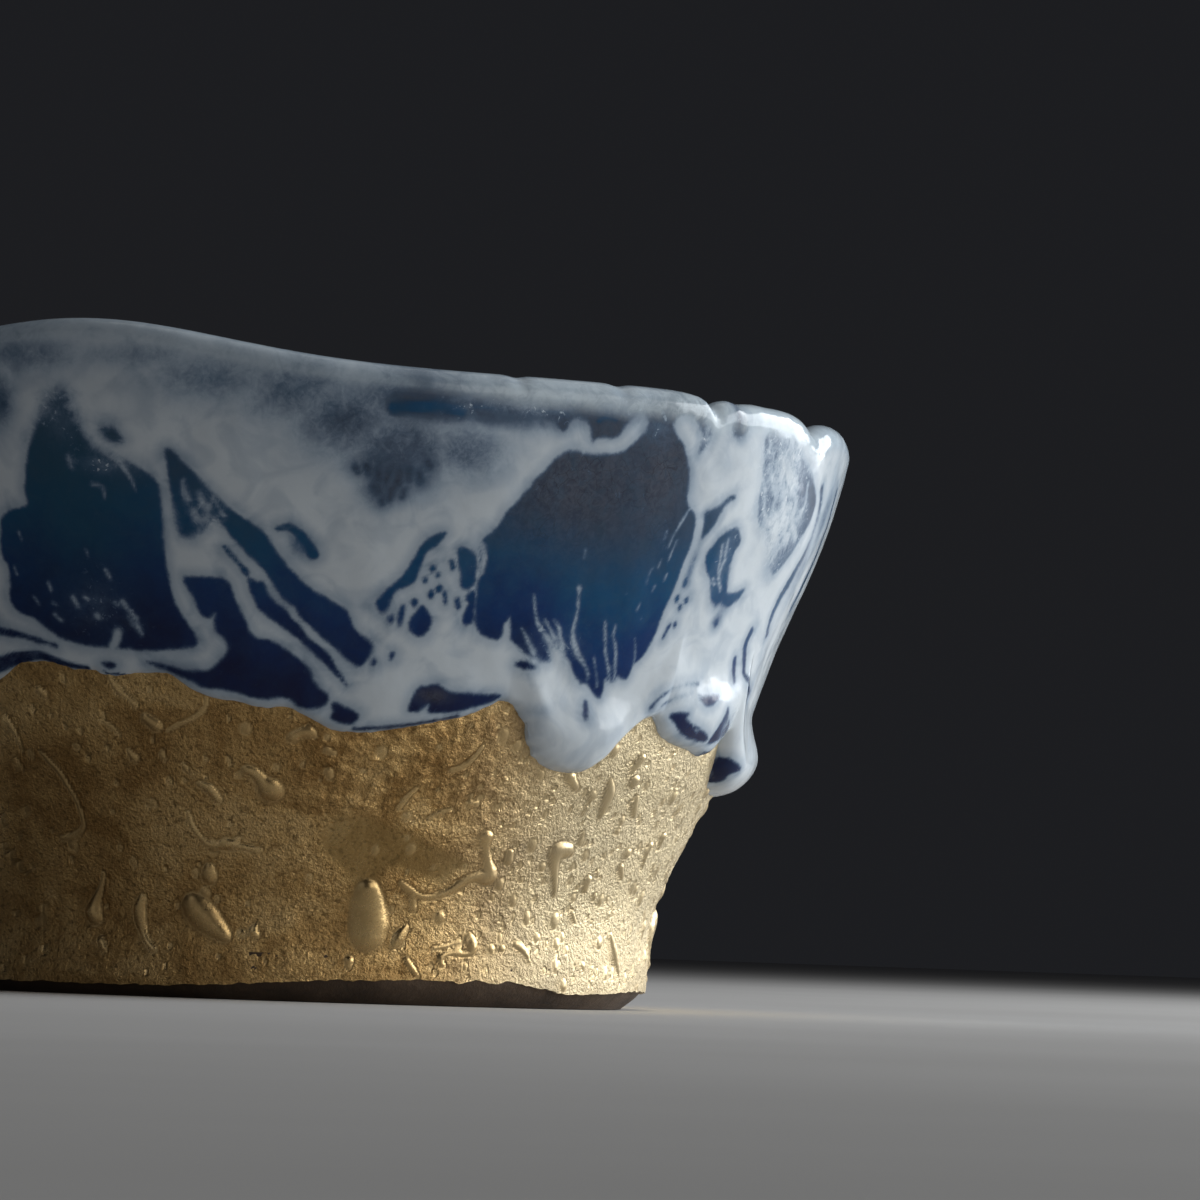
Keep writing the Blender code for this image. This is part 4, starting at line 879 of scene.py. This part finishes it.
def clay_material():
    s = Shader("bare_clay")
    cloud = s.noise(4.0, 5.0, 0.6)
    grit = s.noise(0.35, 4.0, 0.7)
    colour = s.ramp(cloud * 0.6 + grit * 0.4, (
        (0.3, (0.035, 0.022, 0.014)), (0.55, (0.10, 0.065, 0.04)), (0.75, (0.22, 0.16, 0.11))))
    s.set(Base_Color=colour, Metallic=0.0, Roughness=s.span(grit, 0.3, 0.7, 0.7, 0.95),
          Normal=s.bump(grit + cloud * 0.5, 0.6, 0.12))
    return s.material


# The pieces
def moved(path, shift, stretch):
    """The same outline further round the cup, fitted between the lip and the lower edge."""
    low, high = skirt_height(path[:, 0]), lip_height(path[:, 0], LIP_WAVES)
    share = (path[:, 1] - low) / (high - low)
    angle = shift + stretch * path[:, 0]
    low, high = skirt_height(angle), lip_height(angle, LIP_WAVES)
    return np.stack([angle, low + share * (high - low)], 1)


def copies(path):
    """Shift and stretch of each copy that takes this outline in."""
    left, right = path[:, 0].min(), path[:, 0].max()
    return [(shift, stretch) for shift, stretch, first, last in COPIES if first <= left and right <= last]


def again(lines, least):
    """The bolder lines once more round the cup."""
    return [(moved(path, *copy), max(start, COPY_HALF_WIDTH), max(end, COPY_HALF_WIDTH))
            for path, start, end in lines if max(start, end) > least for copy in copies(path)]


def glaze_fields(drawing):
    """Signed distance into the white, and the soft fields of the glaze."""
    count = len(drawing.angle)
    windows = [smooth_path(to_surface(outline), True) for outline in WINDOWS]
    big = [w for w in windows if np.ptp(w[:, 0]) > 3.0 and np.ptp(w[:, 1]) > 1.2]
    windows += [moved(window, *copy) for window in big for copy in copies(window)]
    strands, slits = strokes(STRANDS), strokes(SLITS)
    flow = np.full(count, FLOW_LIMIT)
    for window in windows:
        chosen, depth = drawing.cell(window)
        flow[chosen] = np.minimum(flow[chosen], -depth)
    for line in strands + again(strands, 0.15):
        chosen, depth = drawing.line(*line)
        flow[chosen] = np.maximum(flow[chosen], depth)
    for line in slits + again(slits, 0.16):
        chosen, depth = drawing.line(*line)
        flow[chosen] = np.minimum(flow[chosen], -depth)

    def soft(patches, copied=True):
        total = np.zeros(count)
        for x, z, half_width, half_height, strength in patches:
            spot = to_surface((x, z))
            for at in [spot] + [moved(spot, *copy) for copy in copies(spot) if copied]:
                total = np.maximum(total, strength * drawing.patch(*at[0], half_width, half_height))
        return total

    def band(rows, blur):
        total = np.zeros(count)
        for line in strokes(rows):
            chosen, depth = drawing.line(*line)
            total[chosen] = np.maximum(total[chosen], ease(depth / blur + 0.5))
        return total

    blue = band(BLUE_STRIPS, 0.5)
    top, bottom = lip_height(drawing.angle), skirt_height(drawing.angle)
    below = top - drawing.height
    share = 1.0 - below / (top - bottom)
    tone = np.interp(share, TONE_SHARES, TONES)
    at_right = sector(drawing.angle, 18.0, 6.0, 75.0, 10.0)
    upper = ease((drawing.height - 34.5) / 5.0) * (1.0 - at_right)
    # painted reflection: on the right the pale lip band reaches further down, standing in for the bright
    # reflection there
    painted_reflection_widening = 0.7 * sector(drawing.angle, 10.0, 15.0, 80.0, 20.0)
    # the thin field also holds the painted shade of the fold beside the column
    thin_and_shade = np.maximum(soft(VEILS_AND_SHADE), 0.8 * band(THIN_RIMS, 0.3))
    thin_and_shade = np.maximum(np.maximum(thin_and_shade, 0.9 * blue), 0.35 * ease((2.4 - below) / 1.8))
    return {
        "flow": np.clip(flow, -FLOW_LIMIT, FLOW_LIMIT),
        "thin_and_shade": thin_and_shade,
        "haze": soft(HAZES),
        "tone": np.maximum(tone, 0.45 * blue),
        "teal": soft(TEALS),
        "brown": soft(BROWNS) * (1.0 - blue),
        "lip": ease((1.8 - below + painted_reflection_widening) / 1.2) * (1.0 - soft(CHIPS, False)),
        "soft": np.clip(np.maximum(upper, soft(SOFT_EDGES)), 0.12, 1.0),
    }


def skirt_distance(angle, height):
    """Distance from points to the glaze's lower edge, over the surface."""
    ring = np.concatenate([np.arange(-40.0, 100.0, 0.12), np.arange(100.0, 320.0, 0.6)])
    tree = tree_of(place(ring, skirt_height(ring), wall_radius(skirt_height(ring))))
    own = place(angle.ravel(), height.ravel(), wall_radius(height.ravel()))
    return np.array([tree.find(spot)[2] for spot in own.tolist()]).reshape(angle.shape)


def build_glaze(material):
    angles = columns(*GLAZE_STEPS)
    shoulder = lip_height(angles) - LIP_ROUNDING
    skirt = skirt_height(angles)
    base = skirt + EDGE_STEPS[-1]
    shares = (np.arange(1, OUTSIDE_ROWS + 1) / OUTSIDE_ROWS) ** 1.1
    height = np.array([skirt + step for step in EDGE_STEPS] + [base + (shoulder - base) * s for s in shares])
    angle = np.broadcast_to(angles, height.shape)
    gap = skirt_distance(angle, height)
    wall = wall_radius(height) + plan_shift(angle, height)
    radius = wall + GLAZE_THICKNESS * dome(gap / 0.5) + bead_at(angle, height, gap)
    spots = place(angle, height, radius)
    wave = noise_at(spots, 7.0, 2) * 0.10 + noise_at(spots, 2.2, 2, 9.0) * 0.03
    radius = radius + wave * ease(gap / 1.5)

    inner = inside_radius(angles, shoulder)
    middle, half = (inner + radius[-1]) / 2, (radius[-1] - inner) / 2
    turns = [math.pi * k / (LIP_ROWS + 1) for k in range(1, LIP_ROWS + 1)]
    lip = [place(angles, shoulder + LIP_ROUNDING * math.sin(t), middle + half * math.cos(t)) for t in turns]
    down = [place(angles, shoulder - d, inside_radius(angles, shoulder - d))
            for d in (0.0, 0.8, 1.7, SEAM_BELOW_LIP)]
    seam = shoulder - SEAM_BELOW_LIP
    hidden = [place(angles, seam + 0.3, inside_radius(angles, seam) + 0.9),
              place(angles, skirt + 1.0, wall_radius(skirt + 1.0) - 0.9),
              place(angles, skirt - 0.05, wall_radius(skirt) - 0.6)]
    grid = np.concatenate([place(angle, height, radius), lip, down, hidden])

    to_seam = np.concatenate([np.linspace(0.0, 0.6, LIP_ROWS), (0.7, 0.85), np.ones(5)])
    fields = {}
    for name, values in glaze_fields(Drawing(angle, height, glaze_radius)).items():
        last = values[-len(angles):]
        tail = last + (SEAM_FIELDS[name] - last) * to_seam[:, None]
        fields[name] = np.concatenate([values, tail.ravel()])
    new_piece("glaze_outside", grid, material, fields)


def build_inside(material):
    angles = columns(*INSIDE_STEPS)
    seam = lip_height(angles) - LIP_ROUNDING - SEAM_BELOW_LIP
    bowl_top = FLOOR_THICKNESS + BOWL_DEPTH
    upper = [bowl_top + (seam - bowl_top) * s for s in np.linspace(1.0, 0.0, 24)]
    lower = [np.full(len(angles), FLOOR_THICKNESS + BOWL_DEPTH * s**1.7)
             for s in np.linspace(1.0, 0.0, 40)[1:-1]]
    heights = np.array(upper + lower)
    hidden = [place(angles, FLOOR_THICKNESS - 1.5, 12.0),
              place(angles, FLOOR_THICKNESS + 2.0, 22.5),
              place(angles, seam - 1.5, inside_radius(angles, seam) + 1.0)]
    inside = place(angles, heights, inside_radius(angles, heights))
    grid = np.concatenate([hidden, inside])
    level = grid[..., 2]
    swirl = noise_at(grid, 13.0, 3, 4.0) * 3.2 + noise_at(grid, 4.0, 3, 8.0) * 0.8
    depth = 1.0 - ease((level - FLOOR_THICKNESS) / 26.0)
    fields = {
        "flow": np.clip(swirl * 1.6 + 0.5 - depth * 1.2, -FLOW_LIMIT, FLOW_LIMIT),
        "thin_and_shade": 0.25 + 0.2 * depth, "haze": 0.15, "tone": np.clip(0.3 + 0.7 * depth, 0.0, 1.0),
        "teal": 0.3, "brown": 0.0, "lip": 0.0, "soft": 0.7,
    }
    share = ease(1.0 - (seam - level) / 7.0)
    for name, values in fields.items():
        fields[name] = (values + (SEAM_FIELDS[name] - values) * share).ravel()
    poles = [(AXIS_X, AXIS_Y, FLOOR_THICKNESS - 1.5), (AXIS_X, AXIS_Y, FLOOR_THICKNESS)]
    new_piece("glaze_inside", grid, material, fields, poles)


def gold_wall(height):
    """The gilded wall, with the band at the foot run softly into the flare."""
    steps = (-1.0, -0.6, -0.2, 0.2, 0.6, 1.0, 1.4)
    return sum(wall_radius(np.maximum(height + step, 1.5)) for step in steps) / len(steps)


def crumbs(drawing, relief, drop):
    """Small drops and grains under the leaf, thicker on the right."""
    tree = tree_of(drawing.places)
    rng = np.random.default_rng(31)
    made = 0
    while made < CRUMB_COUNT:
        angle, height = rng.uniform(-180.0, 180.0), rng.uniform(1.5, 21.0)
        crowd = 0.25 + 0.75 * float(sector(angle, 10.0, 30.0, 140.0, 40.0))
        if rng.uniform() > crowd:
            continue
        made += 1
        size = rng.uniform(0.14, 0.22) + 0.28 * rng.uniform() ** 6
        tall = rng.uniform(1.0, 1.8)
        proud = size * rng.uniform(0.35, 0.6)
        spot = drawing.spots(angle, height)
        for position, index, _ in tree.find_range(spot.tolist(), size * tall * 1.4):
            rise = (position[2] - spot[2]) / tall
            side = math.hypot(position[0] - spot[0], position[1] - spot[1])
            share = 1.0 - (math.hypot(rise, side) / (size * 1.2)) ** 2
            if share > 0.0:
                relief[index] = max(relief[index], proud * share)
                drop[index] = max(drop[index], min(share * 2.0, 1.0))


def leaf_edge(angle):
    """Height where the gold ends above the bare foot."""
    turned = between(angle, 0.0)
    near = np.interp(turned, *to_surface(LEAF_EDGE).T)
    far = 1.05 + 0.3 * np.sin(np.radians(between(angle, 40.0)) * 3.0)
    share = sector(turned, -75.0, 15.0, 75.0, 15.0)
    turn = np.radians(angle)
    across, away = JAG_RADIUS * np.sin(turn), JAG_RADIUS * np.cos(turn)
    ring = np.stack([across, away, np.full(len(turn), 5.0)], -1)
    return far + (near - far) * share + 0.12 * noise_at(ring, 1.0)


def gold_drops(drawing, relief, drop, painted_shade):
    """Raises the runs and drops, those of the front and their copies."""
    drops = []
    for chain in GOLD_DROPS:
        points = np.reshape(chain, (-1, 3))
        drops.append(smooth_path(np.column_stack([to_surface(points[:, :2]), points[:, 2]]), False, 3))
    drops += [path * (stretch, 1.0, 1.2) + (shift, 0.0, 0.0)
              for path in drops if path[:, 2].max() > 0.33 for shift, stretch in copies(path)]
    for path in drops:
        chosen = drawing.near(path[:, :2], 1.8)
        uneven = 1.0 + 0.1 * noise_at(drawing.places[chosen], 0.9, 2, 17.0).mean()
        share, rise = drawing.bead(chosen, path[:, :2], path[:, 2] * uneven)
        relief[chosen] = np.maximum(relief[chosen], rise)
        drop[chosen] = np.maximum(drop[chosen], ease((1.25 - share) / 0.35))
        # painted shade in the crease round the drop's foot
        painted_shade[chosen] = np.maximum(painted_shade[chosen], 0.35 * ease(1.0 - np.abs(share - 1.1) / 0.3))


def build_gold(material):
    angles = columns(*GOLD_STEPS)
    low, high = leaf_edge(angles), skirt_height(angles) + 1.6
    height = low + (high - low) * np.linspace(0.0, 1.0, GOLD_ROWS)[:, None]
    angle = np.broadcast_to(angles, height.shape)
    drawing = Drawing(angle, height, lambda a, z: gold_wall(z))
    places = drawing.places
    relief, painted_shade, drop, olive = np.zeros((4, height.size))
    gold_drops(drawing, relief, drop, painted_shade)
    fold = to_surface(LEAF_FOLD)
    chosen, depth = drawing.line(smooth_path(fold, False), 0.0, 0.0, 3.0)
    own = drawing.height[chosen]
    side = drawing.angle[chosen] > np.interp(own, fold[::-1, 1], fold[::-1, 0])
    relief[chosen] += np.where(side, 0.05, 0.0) * ease((depth + 3.0) / 3.0) * ease((11.0 - own) / 2.0)
    crumbs(drawing, relief, drop)
    chosen, depth = drawing.cell(smooth_path(to_surface(OLIVE_PATCH), True), 1.5)
    olive[chosen] = ease((depth + 0.3) / 1.1)

    ridged = 1.0 - np.abs(noise_at(places, 1.3, 4, 3.0)) * 2.0
    fine = 1.0 - np.abs(noise_at(places, 0.5, 3, 7.0)) * 2.0
    beside = sector(drawing.angle, 25.0, 20.0, 150.0, 40.0)
    rucked = ease((drawing.height - 11.0) / 3.0) * ease((drawing.angle + 5.0) / 12.0) * (1.0 - beside)
    calm = ease(noise_at(places, 7.0, 2, 21.0) * 1.8 + 0.6)
    rough = (0.03 + 0.03 * calm) * (1.0 - 0.5 * beside) * ridged + 0.022 * fine
    rough = rough + 0.16 * rucked * noise_at(places, 0.8, 3, 31.0)
    relief += 0.08 * noise_at(places, 5.0) + rough * (1.0 - 0.8 * olive) * (1.0 - 0.85 * drop)
    fade = ease((height - low) / 0.5)
    radius = gold_wall(height) + GOLD_THICKNESS + relief.reshape(height.shape) * (0.35 + 0.65 * fade)
    hidden = [place(angles, high + 0.1, wall_radius(high) - 0.8),
              place(angles, (low + high) / 2, wall_radius((low + high) / 2) - 1.2),
              place(angles, low + 0.15, wall_radius(low) - 0.6)]
    grid = np.concatenate([place(angle, height, radius), hidden])

    # painted light: the right side, which the key light falls on; there the gold is paler and rougher and
    # its pits fainter
    painted_lit_side = sector(drawing.angle, 18.0, 30.0, 150.0, 40.0)
    # painted shade: the gold is darker low on the lit side, towards the foot
    painted_shade = np.maximum(painted_shade, 0.3 * painted_lit_side * ease((7.0 - drawing.height) / 5.0))
    worn = ease(noise_at(places, 9.0, 3, 12.0) * 1.6)
    tail = np.zeros(3 * len(angles))
    fields = {name: np.concatenate([values, tail])
              for name, values in zip(GOLD_FIELDS, (painted_shade, worn, painted_lit_side, olive, drop))}
    new_piece("gold_leaf_body", grid, material, fields)


def build_foot(material):
    angles = columns(*FOOT_STEPS)
    ring_inside = BASE_RADIUS - FOOT_RING_WIDTH
    profile = [(ring_inside - FOOT_RECESS_SLOPE - 8.0, FOOT_RECESS)]
    profile += [(ring_inside - FOOT_RECESS_SLOPE * (1 - s), FOOT_RECESS * (1 - s * s))
                for s in np.linspace(0.0, 1.0, 7)]
    profile += [(ring_inside + 0.25, 0.0), (BASE_RADIUS - 3.0, 0.0), (BASE_RADIUS - 0.25, 0.0)]
    profile.append((BASE_RADIUS, 0.03))
    rows = [place(angles, z, r) for r, z in profile]
    for z in np.linspace(0.1, 3.2, 26):
        spots = place(angles, z, wall_radius(z))
        rough = noise_at(spots, 2.2) * 0.05 + noise_at(spots, 0.7, 3, 5.0) * 0.03
        rows.append(place(angles, z, wall_radius(z) - 0.06 + rough * min(z / 0.5, 1.0)))
    rows += [place(angles, 3.4, FOOT_RADIUS - 1.2), place(angles, 3.6, 12.0)]
    poles = [(AXIS_X, AXIS_Y, FOOT_RECESS), (AXIS_X, AXIS_Y, 3.6)]
    new_piece("bare_foot", np.array(rows), material, {}, poles)


# The stage
def add(name, data):
    thing = bpy.data.objects.new(name, data)
    bpy.context.scene.collection.objects.link(thing)
    return thing


def add_camera():
    data = bpy.data.cameras.new("camera")
    data.sensor_width = 36.0
    data.lens = CAMERA_LENS
    data.dof.use_dof = False
    data.clip_start, data.clip_end = 0.01, 20.0
    yaw, pitch, roll = (math.radians(a) for a in (CAMERA_YAW, CAMERA_PITCH, CAMERA_ROLL))
    ahead = Vector((math.sin(yaw) * math.cos(pitch), math.cos(yaw) * math.cos(pitch), math.sin(pitch)))
    right = ahead.cross(Vector((0, 0, 1))).normalized()
    up = right.cross(ahead)
    tilted_right = right * math.cos(roll) + up * math.sin(roll)
    tilted_up = up * math.cos(roll) - right * math.sin(roll)
    turn = Matrix((tilted_right, tilted_up, -ahead)).transposed()
    camera = add("camera", data)
    spot = Vector((AXIS_X, AXIS_Y - CAMERA_AWAY, CAMERA_HEIGHT)) * MM
    camera.matrix_world = Matrix.Translation(spot) @ turn.to_4x4()
    bpy.context.scene.camera = camera


def add_light(name, spot, aim, width, height, watts, colour=(1, 1, 1)):
    data = bpy.data.lights.new(name, "AREA")
    data.shape = "RECTANGLE"
    data.size, data.size_y = width * MM, height * MM
    data.energy = watts
    data.color = colour
    light = add(name, data)
    spot, aim = Vector(spot) * MM, Vector(aim) * MM
    light.rotation_mode = "QUATERNION"
    light.rotation_quaternion = (aim - spot).to_track_quat("-Z", "Y")
    light.location = spot


def add_floor():
    mesh = bpy.data.meshes.new("floor")
    corners = [(x * FLOOR_HALF, y * FLOOR_HALF, 0.0) for x, y in ((-1, -1), (1, -1), (1, 1), (-1, 1))]
    mesh.from_pydata(corners, [], [(0, 1, 2, 3)])
    s = Shader("pale_floor")
    colour = s.ramp(s.noise(60.0), ((0.3, (0.50, 0.49, 0.48)), (0.7, (0.54, 0.53, 0.52))))
    s.set(Base_Color=colour, Roughness=0.75, Specular_IOR_Level=0.2)
    mesh.materials.append(s.material)
    add("floor", mesh)


def add_world():
    world = bpy.data.worlds.new("studio")
    bpy.context.scene.world = world
    world.use_nodes = True
    background = world.node_tree.nodes["Background"]
    background.inputs[0].default_value = (0.012, 0.0125, 0.0145, 1.0)
    background.inputs[1].default_value = 1.0


add_camera()
add_world()
add_floor()
bpy.context.scene.view_settings.view_transform = "Standard"
add_light("key", (420, 130, 140), (10, 0, 28), 480, 320, 2.8, (0.95, 0.98, 1.0))
add_light("side", (620, -420, 260), (0, 0, 25), 600, 460, 1.22, (1.0, 0.985, 0.95))
add_light("fill", (-420, -560, 240), (0, 0, 25), 600, 460, 0.24, (0.92, 0.95, 1.0))
add_light("top", (140, 80, 520), (0, 0, 20), 520, 420, 0.45)

glaze = glaze_material()
build_glaze(glaze)
build_inside(glaze)
build_gold(gold_material())
build_foot(clay_material())
